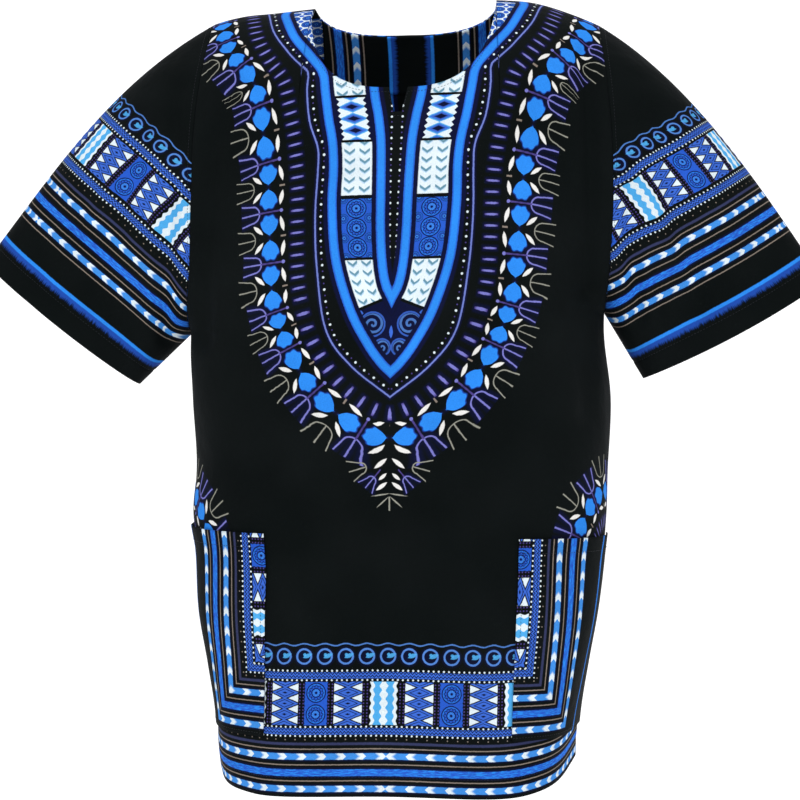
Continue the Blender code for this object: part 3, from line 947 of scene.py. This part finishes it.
FLOWER = {"tip": 2.2, "long": 18.4, "spread": 1.02, "lobes": 15.0, "scallop": 0.7}
PIN_FORK = {"foot": 9.5, "half": 7.4, "deep": 20.0, "thick": 0.66}
CROSSING_FORK = {"foot": 15.0, "half": 8.2, "deep": 20.0, "thick": 0.48}
CHAIN_LEAF_COLUMNS = ("ahead", "off", "lean", "long", "wide")
CHAIN_LEAVES = (
    (11.0, -12.8, 12.0, 7.0, 1.95),
    (8.2, 11.5, 47.0, 6.6, 1.85),
)
DASH_STEP = 10.7
DASH_HALF = 6.4
FERN_COLUMNS = ("down", "out", "long", "wide", "lean", "colour")
FERN = (
    (506.0, 8.4, 7.6, 2.0, 38.0, IVORY),
    (518.5, 6.4, 5.0, 1.6, 40.0, IVORY),
    (527.5, 7.4, 6.4, 1.8, 36.0, IVORY),
    (535.6, 8.5, 9.0, 0.7, 8.0, GREY),
    (542.5, 6.4, 8.0, 0.7, 42.0, GREY),
)
FERN_TIP = (544.0, 6.5)
FERN_FORK_COLUMNS = ("down", "out", "lean", "half", "deep", "colour")
FERN_FORKS = (
    (519.0, 14.5, 50.0, 4.6, 13.0, LAVENDER),
    (509.0, 22.0, 16.0, 5.4, 17.0, GREY),
)
FERN_FLARE = 0.45


def dash_row(dyes, along, beside):
    """Short lavender strokes square to their row every DASH_STEP, slightly narrower and purple at
    their ends, each in a navy halo."""
    dash = abs(every(along, DASH_STEP))
    dyes.dip(inside(dash, 2.8, 2.6) * stripe(beside, 0.0, DASH_HALF + 1.4, 2.2), NAVY)
    body = inside(dash.plus(abs(beside), 0.05), 1.08)
    dyes.dip(body * stripe(beside, 0.0, DASH_HALF), PURPLE)
    dyes.dip(body * stripe(beside, 0.0, DASH_HALF - 1.6, 2.4), LAVENDER)


def flower_chain(dyes, step, off):
    """A pin with a lavender fork every CHAIN_STEP, and between each two a crossing with a grey fork,
    white leaves and two shell flowers: r = long * sqrt(1 - (angle / spread)^2), with a scalloped rim."""
    from_crossing = both_ways(step, CHAIN_STEP)
    from_pin = (from_crossing * -1.0) + CHAIN_STEP / 2
    half, deep = PIN_FORK["half"], PIN_FORK["deep"]
    up = off - PIN_FORK["foot"]
    dyes.dip(fork(from_pin, up, half, deep + 0.6, 2.7, soft=4.0), NAVY)
    dyes.dip(fork(from_pin, up, half, deep, PIN_FORK["thick"]), LAVENDER)
    beyond_fern = beyond(abs(step), CHAIN_STEP / 2)
    half, deep = CROSSING_FORK["half"], CROSSING_FORK["deep"]
    up = off - CROSSING_FORK["foot"]
    dyes.dip(fork(from_crossing, up, half, deep, CROSSING_FORK["thick"]) * beyond_fern, GREY)
    dyes.dip(inside(from_pin, 0.8) * stripe(off, -1.0, 11.0), PURPLE)
    dyes.dip(inside(far(from_pin, off + 12.5), 1.6), LAVENDER)

    ahead = from_crossing - FLOWER["tip"]
    reach = far(ahead, off)
    angle = off.math("ARCTAN2", ahead) * (1 / FLOWER["spread"])
    fan = ((angle * angle) * -1.0 + 1.0).math("MAXIMUM", 0.0).math("SQRT")
    petals = (angle * (FLOWER["lobes"] * FLOWER["spread"])).math("COSINE")
    gap = reach.plus(fan, -FLOWER["long"]).plus(petals, FLOWER["scallop"])
    dyes.dip(inside(gap, 1.8, 3.0), NAVY)
    dyes.dip(inside(gap, 0.1, 1.2), COBALT, 0.8)
    dyes.dip(inside(gap, -0.7), BLUE)

    for row in CHAIN_LEAVES:
        part = dict(zip(CHAIN_LEAF_COLUMNS, row))
        x, y = turned(from_crossing - part["ahead"], off - part["off"], part["lean"])
        dyes.dip(leaf(x, y, part["long"], part["wide"]), IVORY)
    dyes.dip(inside(from_crossing, 0.8) * stripe(off, -13.6, 2.6), TAN)


def fern(dyes, out, down):
    """Pairs of leaves down the centre line to a grey tip, with a lavender and a grey fork each side."""
    for row in FERN:
        part = dict(zip(FERN_COLUMNS, row))
        x, y = turned(out - part["out"], down - part["down"], part["lean"])
        dyes.dip(leaf(x, y, part["long"], part["wide"]), part["colour"])
    dyes.dip(inside(out, 0.7) * stripe(down, *FERN_TIP), GREY)
    for row in FERN_FORKS:
        part = dict(zip(FERN_FORK_COLUMNS, row))
        y, x = turned(out - part["out"], down - part["down"], part["lean"])
        half, deep = part["half"], part["deep"]
        if part["colour"] == LAVENDER:
            dyes.dip(fork(x, y, half, deep + 0.6, 2.4, FERN_FLARE, soft=3.6), NAVY)
            dyes.dip(inside(abs(x), 0.6) * stripe(y, -4.5, 5.0), PURPLE)
        dyes.dip(fork(x, y, half, deep, 0.55, FERN_FLARE), part["colour"])


def draw_flowers(dyes, maps):
    """The dashes, the flower chain and the fern, the same on both halves."""
    out, down = maps.wavering("cloth")
    dash_row(dyes, *maps.wavering("dashes"))
    flower_chain(dyes, *maps.wavering("chain"))
    fern(dyes, abs(out), down)


# ---- The front: the hem border ------------------------------------------------------------------
# A border of straight rows runs round the hem, and the sleeves and pockets are cut from it too: rows
# of rings, dots and zigzag over a row of blocks, then lines, a plain blue band and arrow bands.

ROW_COLUMNS = ("kind", "up", "half")
HEM_BORDER = (
    ("arrows", 7.5, 2.9), ("tan", 15.0, 0.5), ("blue", 22.5, 3.2), ("tan", 30.0, 0.5),
    ("arrows", 37.6, 2.9), ("tan", 44.6, 0.5), ("dusk", 49.4, 1.2), ("specks", 53.4, 0.6),
    ("dots", 56.8, 0.85), ("zigzag", 61.0, 3.0), ("dots", 65.2, 0.85), ("blocks", 87.0, 20.2),
    ("dots", 108.8, 0.85), ("zigzag", 113.2, 3.0), ("dots", 117.6, 0.9), ("rings", 131.0, 6.8),
    ("scallops", 142.0, 0.65),
)
DOTS_APART = 4.8
RING_STEP = 20.0
ARROW_STEP = 18.8
ZIGZAG_STEP = 3.6
BLOCK_STEP = 128.0
BLOCK_AT = -3.4
WAVY_HALF = 12.4
RIPPLE = 8.1
DIAMONDS_AT = 33.6
DIAMONDS_HALF = 13.2
ROSETTES_FROM = 53.6
BARS_AT = (17.2, 50.2)
BAR_HALF = 3.0


def border_blocks(dyes, x, above, half):
    """The row of blocks: a wavy one, diamonds, two rosettes, diamonds, and so on both ways, with
    dotted dark bars between them."""
    across = both_ways(x, BLOCK_STEP, BLOCK_AT)
    inner = stripe(above, 0.0, half)
    ripple = (above * (2 * math.pi / RIPPLE)).math("COSINE")
    with dyes.area(inner * inside(across.plus(ripple, 0.7), WAVY_HALF), WHITE):
        dyes.dip(beyond(across.plus(ripple, -1.1), 2.9) * inside(across.plus(ripple, 0.8), 9.2), SKY)
    with dyes.area(inner * stripe(across, DIAMONDS_AT, DIAMONDS_HALF), NAVY):
        diamonds(dyes, abs(across - DIAMONDS_AT), above, 10.1, 12.8)
    with dyes.area(inner * beyond(across.plus(abs(ripple), 0.6), ROSETTES_FROM), COBALT):
        rosettes(dyes, (across * -1.0) + BLOCK_STEP / 2, abs(above) - half / 2, 9.4)
    bars = stripe(across, BARS_AT[0], BAR_HALF) + stripe(across, BARS_AT[1], BAR_HALF)
    from_bar = both_ways(across, BARS_AT[1] - BARS_AT[0], BARS_AT[0])
    dots = inside(far(every(from_bar, 3.4, 1.7), every(above, 3.0)), 0.7)
    dyes.dip(bars * dots * inner, PURPLE)


def streaks(x, up):
    """A noise drawn out along up, for combed edges."""
    place = x.tree.nodes.new("ShaderNodeCombineXYZ")
    x.tree.links.new((x * 0.9).socket, place.inputs[0])
    x.tree.links.new((up * 0.05).socket, place.inputs[1])
    noise = x.tree.nodes.new("ShaderNodeTexNoise")
    noise.inputs["Scale"].default_value = 1.0
    noise.inputs["Detail"].default_value = 2.0
    x.tree.links.new(place.outputs[0], noise.inputs["Vector"])
    return Ink(x.tree, noise.outputs[0])


def streaked_line(dyes, x, up, line, half):
    """A plain blue line with brighter streaks along it, in a navy edge."""
    dyes.dip(inside(abs(line), half + 1.6, 1.5), NAVY)
    dyes.dip(inside(abs(line), half), COBALT)
    dyes.dip(inside(abs(line), half) * beyond(streaks(up * 1.3, x * 2.6), 0.52, 0.12), BLUE)


def arrows(dyes, x, line, half, flow):
    """A pale blue line with white arrows, sharp in front and fading behind: their points lie where
    |x| + flow |line| is a multiple of ARROW_STEP."""
    point = every(abs(x).plus(abs(line), flow), ARROW_STEP)
    dyes.dip(inside(abs(line), half + 1.3, 1.2), NAVY)
    dyes.dip(inside(abs(line), half), AZURE)
    dyes.dip(inside(abs(line), half) * inside(point, 6.0, 3.2) * beyond(point, -0.2), WHITE)


def zigzag(dyes, x, line, half):
    """A blue line filled with navy zigzags, where line + 1.15 |x from its step| is a multiple of 3."""
    bent = every(line.plus(abs(every(x, ZIGZAG_STEP)), 1.15), 3.0)
    dyes.dip(inside(abs(line), half), ROYAL)
    dyes.dip(inside(abs(line), half) * stripe(bent, 0.0, 0.6), NAVY)


def ring_row(dyes, x, line, half):
    """Pale rings on navy, each with a leaf in it."""
    ring = far(every(x, RING_STEP), line)
    dyes.dip(inside(ring, half + 2.6, 2.4), NAVY, 0.7)
    dyes.dip(stripe(ring, half, 0.9), PALE)
    dyes.dip(leaf(*turned(every(x, RING_STEP, 3.2), line - 0.6, 24.0), 4.8, 1.9), SKY, 0.8)
    dyes.dip(inside(far(every(x, RING_STEP, 0.6), line - 1.6), 1.5), SKY, 0.8)


def feather(dyes, x, up, line, half):
    """A blue line with a combed fringe on one side: above it, or below where half is negative."""
    reach = (streaks(x, up) * half) - 0.25 * abs(half)
    fringe = beyond(line, 0.0) if half > 0 else inside(line, 0.0)
    dyes.dip(fringe * inside(abs(line) - abs(reach), 0.0, 3.5), COBALT, 0.7)
    dyes.dip(inside(abs(line), 1.7, 0.9), BLUE)


def border(dyes, x, up, rows, flow=-1.1):
    """Prints the border's rows, x along them and up across them. The arrows point to x = 0, or away
    from it with the other sign of flow."""
    for values in rows:
        row = dict(zip(ROW_COLUMNS, values))
        kind, half = row["kind"], row["half"]
        line = up - row["up"]
        if kind == "tan":
            dyes.dip(inside(abs(line), half), TAN)
        elif kind == "dusk":
            dyes.dip(inside(abs(line), half, 0.9), DUSK)
        elif kind == "blue":
            streaked_line(dyes, x, up, line, half)
        elif kind == "arrows":
            arrows(dyes, x, line, half, flow)
        elif kind == "specks":
            dyes.dip(inside(far(every(x, 2 * DOTS_APART), line), half), TAN)
        elif kind == "dots":
            dyes.dip(inside(far(every(x, DOTS_APART), line), half), WHITE)
        elif kind == "zigzag":
            zigzag(dyes, x, line, half)
        elif kind == "rings":
            ring_row(dyes, x, line, half)
        elif kind == "scallops":
            wave = (x * (2 * math.pi / RING_STEP)).math("COSINE")
            dyes.dip(inside(abs(line.plus(wave, -1.0)), half), PALE, 0.85)
        elif kind == "blocks":
            border_blocks(dyes, x, line, half)
        elif kind == "feather":
            feather(dyes, x, up, line, half)


def draw_hem(dyes, maps):
    """The border round the hem, its arrows pointing to the centre."""
    x, up = maps.wavering("hem")
    border(dyes, x, up, HEM_BORDER)


PANEL_PRINTS = (
    printed_cotton("black_cotton", lambda dyes, maps: None),
    printed_cotton("yoke_print", draw_yoke),
    printed_cotton("flower_print", draw_flowers),
    printed_cotton("hem_print", draw_hem),
)
GROUND, YOKE, FLOWERS, HEM = range(4)
YOKE_EDGE = 5.0
HEM_TOP = 146.0
CHAIN_REACH = (-40.0, 42.0)
FERN_HALF = 34.0
FERN_REACH = (440.0, 556.0)


def panel_maps(lengths):
    """All of a panel's UV maps."""
    return {
        "cloth": (lengths["out"], lengths["down"]),
        "hem": (lengths["out"], lengths["up"]),
        **yoke_maps(lengths),
        "OFBake": flat_map(lengths["out"], lengths["down"]),
    }


def at_faces(grid):
    """The grid's mean at each face's four corners."""
    return 0.25 * (grid[:-1, :-1] + grid[1:, :-1] + grid[1:, 1:] + grid[:-1, 1:])


def panel_slots(lengths, maps):
    """Which print each face of a panel takes. The borders between prints lie on plain black."""
    out, down, up = (at_faces(lengths[name]) for name in ("out", "down", "up"))
    beside = at_faces(maps["necklace"][1])
    off = at_faces(maps["chain"][1])
    slots = np.full(out.shape, GROUND)
    slots[(off > CHAIN_REACH[0]) & (off < CHAIN_REACH[1])] = FLOWERS
    slots[(np.abs(out) < FERN_HALF) & (down > FERN_REACH[0]) & (down < FERN_REACH[1])] = FLOWERS
    slots[(beside < YOKE_EDGE) & ~above_pocket(out, down)] = YOKE
    slots[up < HEM_TOP] = HEM
    return slots


# ---- The front: sewing it -----------------------------------------------------------------------
# The hem is turned and the neck and slit are edged, each held by a row of dark machine stitches.
# Each stitch is a short arch of twisted thread, with its ends in the cloth. Sizes in millimetres.

STITCH_STEP = 3.2
STITCH_LONG = 2.3
STITCH_THICK = 0.42
STITCH_RISE = 0.336
STITCH_SINK = 0.14
STITCH_START = 0.5
STITCH_TIP = 0.45
STITCH_RINGS = 5
STITCH_SIDES = 4
NECK_ROW = 2


def thread_cotton():
    """Twisted black sewing thread: fine slanting light and dark plies, with their relief."""
    material, tree, surface = new_material("sewing_thread")
    along, across = uv_lengths(tree, "cloth")
    ply = (along * 9.0).plus(across, 6.3).math("SINE") * 0.5 + 0.5
    mix = tree.nodes.new("ShaderNodeMix")
    mix.data_type = "RGBA"
    mix.inputs["A"].default_value = (0.0040, 0.0045, 0.0070, 1)
    mix.inputs["B"].default_value = (0.0180, 0.0200, 0.0300, 1)
    tree.links.new(ply.socket, mix.inputs["Factor"])
    tree.links.new(mix.outputs["Result"], surface.inputs["Base Color"])
    add_relief(tree, surface, ply, 0.5, 0.0001)
    tree.links.new((ply * -0.12 + 0.62).socket, surface.inputs["Roughness"])
    surface.inputs["Specular IOR Level"].default_value = 0.3
    return material


THREAD = thread_cotton()


def stitched(name, seams):
    """Rows of stitches along lines on the cloth, each given as points and normals, as one thread
    piece. A stitch rises by half a sine, and is about half as thick at its ends as in its middle."""
    share = np.linspace(0, 1, STITCH_RINGS)
    turn = 2 * math.pi * np.arange(STITCH_SIDES) / STITCH_SIDES
    rings = []
    for points, outward in seams:
        steps = np.linalg.norm(np.diff(points, axis=0), axis=1)
        so_far = np.concatenate([[0], np.cumsum(steps)]) * 1000
        starts = np.arange(STITCH_START, so_far[-1] - STITCH_LONG, STITCH_STEP)
        at = starts[:, None] + STITCH_LONG * share
        centre = np.stack([np.interp(at, so_far, points[:, i]) for i in range(3)], axis=-1)
        normal = np.stack([np.interp(at, so_far, outward[:, i]) for i in range(3)], axis=-1)
        way = centre[:, -1:] - centre[:, :1]
        side = np.cross(way, normal)
        side /= np.linalg.norm(side, axis=-1, keepdims=True)
        rise = STITCH_RISE * np.sin(math.pi * share) - STITCH_SINK
        centre = centre + normal * rise[:, None] * 0.001
        thick = STITCH_THICK * (STITCH_TIP + (1 - STITCH_TIP) * np.sin(math.pi * share))
        ring = side[..., None, :] * np.cos(turn)[:, None] + normal[..., None, :] * np.sin(turn)[:, None]
        rings.append(centre[..., None, :] + ring * 0.0005 * thick[:, None, None])
    rings = np.concatenate(rings)
    index = np.arange(rings[..., 0].size).reshape(rings.shape[:3])
    beside = np.roll(index, -1, axis=2)
    quads = np.stack([index[:, :-1], index[:, 1:], beside[:, 1:], beside[:, :-1]], axis=-1).reshape(-1, 4)
    mesh = bpy.data.meshes.new(name)
    mesh.from_pydata(rings.reshape(-1, 3).tolist(), [], quads.tolist())
    spot = np.stack(np.broadcast_arrays(share[None, :, None] * STITCH_LONG, turn), axis=-1)
    spot = np.broadcast_to(spot, rings.shape[:3] + (2,)).reshape(-1, 2)
    layer = mesh.uv_layers.new(name="cloth")
    layer.data.foreach_set("uv", spot[quads.ravel()].astype(np.float32).ravel())
    mesh.materials.append(THREAD)
    mesh.shade_smooth()
    piece = placed(name, mesh)
    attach(piece, "root")
    return piece


def level_seam(points, outward, lengths, at):
    """The line across a grid where a cloth length that falls down its rows has this value."""
    row = (lengths > at).sum(axis=0)
    column = np.arange(points.shape[1])
    above = lengths[row - 1, column]
    share = ((above - at) / (above - lengths[row, column]))[:, None]
    line = points[row - 1, column] * (1 - share) + points[row, column] * share
    return line, outward[row, column]


def sewn_panel(name, points, outward, lengths, flip=False):
    """A panel's sheet, printed, with its stitches along the hem and round the neck."""
    maps = panel_maps(lengths)
    slots = panel_slots(lengths, maps)
    piece = cloth_piece(name + "_panel", points, PANEL_PRINTS, maps, slots, flip=flip)
    thread = stitched(name + "_stitches", [
        level_seam(points, outward, lengths["up"], HEM_STITCH * 1000),
        (points[NECK_ROW, NECK_COLUMNS], outward[NECK_ROW, NECK_COLUMNS]),
    ])
    as_sheet(piece, name, points)


CENTRE_COLUMN = sum(FINE_COLUMNS)
NECK_REACH = sum(FINE_COLUMNS[:4])
NECK_COLUMNS = slice(CENTRE_COLUMN - NECK_REACH, CENTRE_COLUMN + NECK_REACH + 1)

front, front_out, front_mm = panel(-1, FRONT_FOLDS, FRONT_CREASES)
sewn_panel("front", front, front_out, front_mm)


# ---- The back -----------------------------------------------------------------------------------
# The same cut as the front with a shallow round neck and no slit, joined to it at the shoulders and
# the sides. It carries the same yoke, flower chain and border, and is stitched in the same places.

BACK_FOLDS = (
    (-0.185, -0.120, -0.180, -0.350, 0.014, -0.009),
    (0.185, -0.120, 0.176, -0.370, 0.014, -0.009),
    (-0.090, -0.300, -0.120, -0.770, 0.030, -0.009),
    (0.085, -0.330, 0.105, -0.770, 0.030, -0.009),
    (-0.010, -0.420, 0.000, -0.770, 0.035, -0.006),
)
BACK_CREASES = (
    (-0.150, -0.160, -0.110, -0.290, 0.010, -0.0020),
    (0.152, -0.170, 0.118, -0.300, 0.011, -0.0022),
    (-0.060, -0.340, -0.040, -0.500, 0.014, -0.0018),
    (0.050, -0.380, 0.030, -0.560, 0.013, -0.0016),
    (0.160, -0.420, 0.140, -0.600, 0.016, -0.0025),
    (-0.165, -0.450, -0.150, -0.640, 0.015, -0.0022),
    (-0.020, -0.120, 0.030, -0.150, 0.010, -0.0010),
)

back, back_out, back_mm = panel(1, BACK_FOLDS, BACK_CREASES)
sewn_panel("back", back, back_out, back_mm, flip=True)


# ---- The sleeves --------------------------------------------------------------------------------
# Two wide tubes of the border cloth, set straight on the armhole of the dropped shoulder. They fall
# from the shoulder's end, bend under the arm and end in a turned cuff. Cuff and armhole are stitched.

SLEEVES = {
    "left": {
        "top": (-0.425, -0.252), "bottom": (-0.269, -0.376), "depth": 0.047, "bow": 0.001,
        "leave": (-0.88, -0.47), "arrive": (-0.62, -0.785), "swell": (1.10, 0.95),
    },
    "right": {
        "top": (0.413, -0.274), "bottom": (0.236, -0.370), "depth": 0.047, "bow": 0.005,
        "leave": (0.86, -0.51), "arrive": (0.56, -0.83), "swell": (1.00, 0.80),
    },
}
SLEEVE_FOLDS = {
    "left": (
        (-0.216, -0.088, -0.212, -0.150, 0.010, -0.008),
        (-0.256, -0.125, -0.278, -0.215, 0.016, -0.008),
        (-0.226, -0.200, -0.236, -0.330, 0.010, -0.006),
    ),
    "right": (
        (0.250, -0.120, 0.286, -0.300, 0.016, -0.009),
        (0.216, -0.170, 0.230, -0.310, 0.011, -0.008),
        (0.330, -0.190, 0.350, -0.270, 0.018, -0.004),
    ),
}
SLEEVE_CREASES = {
    "left": (
        (-0.240, -0.150, -0.252, -0.230, 0.007, -0.0025),
        (-0.300, -0.160, -0.330, -0.240, 0.010, -0.0022),
        (-0.350, -0.220, -0.366, -0.290, 0.012, -0.0022),
        (-0.220, -0.110, -0.232, -0.170, 0.006, -0.0020),
    ),
    "right": (
        (0.232, -0.200, 0.250, -0.310, 0.008, -0.0030),
        (0.276, -0.150, 0.306, -0.250, 0.009, -0.0026),
        (0.224, -0.110, 0.240, -0.180, 0.007, -0.0022),
        (0.352, -0.230, 0.372, -0.300, 0.012, -0.0022),
    ),
}
FOLD_FADE_SLEEVE = 0.15
FOLD_TURN = 0.5
SLEEVE_GAP = 0.0003
SLEEVE_ROWS = 90
SLEEVE_STEPS = 110
SLEEVE_UNDER = 0.2
SLEEVE_ROUND = 560.0
SLEEVE_SHIFT = {"left": -62.0, "right": -40.0}
SLEEVE_BORDER = (
    ("feather", 32.5, -9.0), ("tan", 60.5, 0.5), ("arrows", 68.5, 2.8), ("tan", 77.0, 0.5),
    ("blue", 86.0, 3.4), ("tan", 96.0, 0.5), ("arrows", 104.5, 2.8), ("tan", 112.0, 0.5),
    ("dusk", 117.0, 1.2), ("specks", 122.5, 0.6), ("dots", 128.0, 0.85), ("zigzag", 132.5, 3.0),
    ("dots", 137.0, 0.85), ("blocks", 162.3, 21.6), ("dots", 186.6, 0.85), ("zigzag", 190.8, 3.0),
    ("dots", 195.2, 0.9), ("rings", 206.0, 6.2), ("scallops", 216.0, 0.65),
)
CUFF_STITCH = 0.020
ARMHOLE_ROW = 2


def armhole_loop(side):
    """Closed loop of the armhole: down the front edge from the shoulder line, up the back edge."""
    across = np.full(SLEEVE_ROWS + 1, -1.0 if side == "left" else 1.0)
    drop = drop_to(across, level(ARMHOLE_BOTTOM, across)) * np.linspace(0, 1, SLEEVE_ROWS + 1)
    before, _ = body_points(-1, across, drop)
    behind, _ = body_points(1, across, drop)
    return np.concatenate([before, behind[-2:0:-1]])


def tube_normals(points, side):
    """Outward unit normals of a sleeve's closed grid."""
    closed = np.concatenate([points[:, -1:], points, points[:, :1]], axis=1)
    return normals(closed)[:, 1:-1] * (-1 if side == "left" else 1)


def sleeve(side):
    """The sleeve's outer face, its normals and its cloth lengths: around from the top, up from the cuff.

    Each line along it is the cubic Hermite curve from the armhole, which it leaves outward, to the
    cuff, an oval that it reaches square to its edge. The lines underneath run straighter.
    """
    sizes = SLEEVES[side]
    start = armhole_loop(side)
    count = len(start)
    turn = 2 * math.pi * np.arange(count) / count
    top, bottom, leave, arrive = (
        np.array([sizes[name][0], 0.0, sizes[name][1]]) for name in ("top", "bottom", "leave", "arrive")
    )
    end = (top + bottom) / 2 + np.outer(np.cos(turn), (top - bottom) / 2)
    end[:, 1] = -sizes["depth"] * np.sin(turn)
    end += np.outer(np.sin(turn) ** 2, arrive * sizes["bow"])
    start = start + leave * SLEEVE_GAP
    chord = end - start
    reach = np.linalg.norm(chord, axis=1, keepdims=True)
    under = soft_step((-np.cos(turn) - SLEEVE_UNDER) / (1 - SLEEVE_UNDER))[:, None]
    first = leave * reach * sizes["swell"][0] * (1 - under) + chord * under
    last = arrive * reach * sizes["swell"][1] * (1 - under) + chord * under
    t = np.linspace(0, 1, SLEEVE_STEPS + 1)[:, None, None]
    points = (
        start * (1 + 2 * t) * (1 - t) ** 2
        + end * t * t * (3 - 2 * t)
        + first * t * (1 - t) ** 2
        - last * t * t * (1 - t)
    )
    out = tube_normals(points, side)
    window = soft_step(t[..., 0] / FOLD_FADE_SLEEVE) * soft_step(-out[..., 1] / FOLD_TURN)
    points = folded(points, out, SLEEVE_FOLDS[side], window)
    points = folded(points, out, SLEEVE_CREASES[side], window)
    steps = np.linalg.norm(np.diff(points, axis=0), axis=-1)[::-1]
    up = np.concatenate([np.cumsum(steps, axis=0)[::-1], np.zeros((1, count))]) * 1000
    dip = HEM_DIP * np.exp(-(((up / 1000 - CUFF_STITCH) / HEM_DIP_WIDTH) ** 2))
    points = points - tube_normals(points, side) * dip[..., None]
    around = np.broadcast_to(np.linspace(0, 1, count + 1) * SLEEVE_ROUND, (len(up), count + 1))
    return points, tube_normals(points, side), around, np.c_[up, up[:, :1]]


def draw_sleeve(dyes, maps):
    """The border round the sleeve, its feathered line by the cuff."""
    around, up = maps.wavering("cloth")
    border(dyes, around, up, SLEEVE_BORDER)


SLEEVE_PRINTS = [printed_cotton("sleeve_print", draw_sleeve)]

for side in ("left", "right"):
    points, out, around, up = sleeve(side)
    maps = {"cloth": (around + SLEEVE_SHIFT[side], up), "OFBake": flat_map(around, up)}
    flip = side == "right"
    piece = cloth_piece("sleeve_tube_" + side, points, SLEEVE_PRINTS, maps, closed=True, flip=flip)
    ring = np.r_[:points.shape[1], 0]
    cuff = level_seam(points[:, ring], out[:, ring], up, CUFF_STITCH * 1000)
    armhole = (points[ARMHOLE_ROW, ring], out[ARMHOLE_ROW, ring])
    thread = stitched("sleeve_stitches_" + side, [cuff, armhole])
    as_sheet(piece, "sleeve_" + side, points, closed=True)


# ---- The pockets --------------------------------------------------------------------------------
# Two patch pockets of the border cloth on the lower front, sewn into the side seams. They are made
# from the front's own points, moved off it, so that they follow its curve. Stitches run along the
# mouth, the bottom and the inner edge.

POCKET_OFF = 0.0022
POCKET_GAPE = 0.0016
GAPE_DEEP = 14.0
POCKET_BORDER = HEM_BORDER[:12]
POCKET_ASIDE = 81.0
POCKET_UP = 3.0
POCKET_SHIFT = 20.6
POCKET_FEATHER = (("feather", 50.0, 9.0),)
POCKET_SEAM_ROWS = (4, -2)
POCKET_SEAM_COLUMN = {"left": -3, "right": 2}
POCKET_COLUMN = sum(FINE_COLUMNS[:3])
POCKET_ROWS = slice(sum(FINE_ROWS[:2]), sum(FINE_ROWS[:3]) + 1)
POCKET_COLUMNS = {
    "left": slice(0, CENTRE_COLUMN - POCKET_COLUMN + 1),
    "right": slice(CENTRE_COLUMN + POCKET_COLUMN, 2 * CENTRE_COLUMN + 1),
}


def pocket(side):
    """The pocket's outer face, its normals and its cloth lengths: in from the side seam and up from
    its bottom. Its mouth stands off the front by POCKET_GAPE sin(pi share) exp(-(depth / GAPE_DEEP)^2),
    with share along the mouth and depth below it."""
    where = (POCKET_ROWS, POCKET_COLUMNS[side])
    out = np.abs(front_mm["out"])
    aside = out[POCKET_ROWS].max(axis=1)[:, None] - out[where]
    up = front_mm["down"][where][-1:] - front_mm["down"][where]
    share = (out[where] - out[where].min()) / np.ptp(out[where])
    gape = POCKET_GAPE * np.exp(-(((up.max() - up) / GAPE_DEEP) ** 2)) * np.sin(math.pi * share)
    points = front[where] + front_out[where] * (POCKET_OFF + gape)[..., None]
    return points, front_out[where], aside, up


def draw_pocket(dyes, maps):
    """The hem border turned up at the corner: its rows run in along the pocket's bottom and up along
    its inner edge, mitred where the two distances are alike."""
    aside, up = maps.wavering("cloth")
    from_side = aside - POCKET_ASIDE
    from_bottom = up - POCKET_UP
    along = from_side.math("MAXIMUM", from_bottom) + POCKET_SHIFT
    border(dyes, along, from_side.math("MINIMUM", from_bottom), POCKET_BORDER, flow=1.1)
    border(dyes, up, aside, POCKET_FEATHER)


POCKET_PRINTS = [printed_cotton("pocket_print", draw_pocket)]

for side in ("left", "right"):
    points, out, aside, up = pocket(side)
    maps = {"cloth": (aside, up), "OFBake": flat_map(aside, up)}
    piece = cloth_piece("patch_pocket_" + side, points, POCKET_PRINTS, maps)
    edge = POCKET_SEAM_COLUMN[side]
    seams = [(points[row, :], out[row, :]) for row in POCKET_SEAM_ROWS]
    seams.append((points[:, edge], out[:, edge]))
    thread = stitched("pocket_stitches_" + side, seams)
    as_sheet(piece, "pocket_" + side, points)


# ---- The back neck facing -----------------------------------------------------------------------
# A strip of the striped border cloth sewn inside the back neck with its stripes upright. It reaches
# almost to the neck's ends and shows through the neck opening.

FACING_IN = 0.0016
FACING_DEEP = 62.0
FACING_STRIPES = (
    ("feather", 22.0, -8.0), ("tan", 49.0, 0.7), ("arrows", 57.0, 3.6), ("tan", 66.0, 0.7),
    ("blue", 74.0, 3.8), ("tan", 82.0, 0.7),
)
FACING_REACH = NECK_REACH - 2
FACING_COLUMNS = slice(CENTRE_COLUMN - FACING_REACH, CENTRE_COLUMN + FACING_REACH + 1)


def draw_facing(dyes, maps):
    """The border's stripes upright, the same on both sides of the centre."""
    out, down = maps.wavering("cloth")
    border(dyes, down, abs(out), FACING_STRIPES)


# The facing's colours are brightened by 1.35 as painted light, since it lies in shade inside the back
# neck.
FACING_PRINTS = [printed_cotton("facing_print", draw_facing, painted_light_gain=1.35)]

deep = back_mm["down"][:, CENTRE_COLUMN] - back_mm["down"][0, CENTRE_COLUMN]
where = (slice(0, int(np.searchsorted(deep, FACING_DEEP)) + 1), FACING_COLUMNS)
points = (back - back_out * (CLOTH + FACING_IN))[where]
out, down = back_mm["out"][where], back_mm["down"][where]
maps = {"cloth": (out, down), "OFBake": flat_map(out, down)}
piece = cloth_piece("neck_facing", points, FACING_PRINTS, maps)
as_sheet(piece, "back_facing", points)
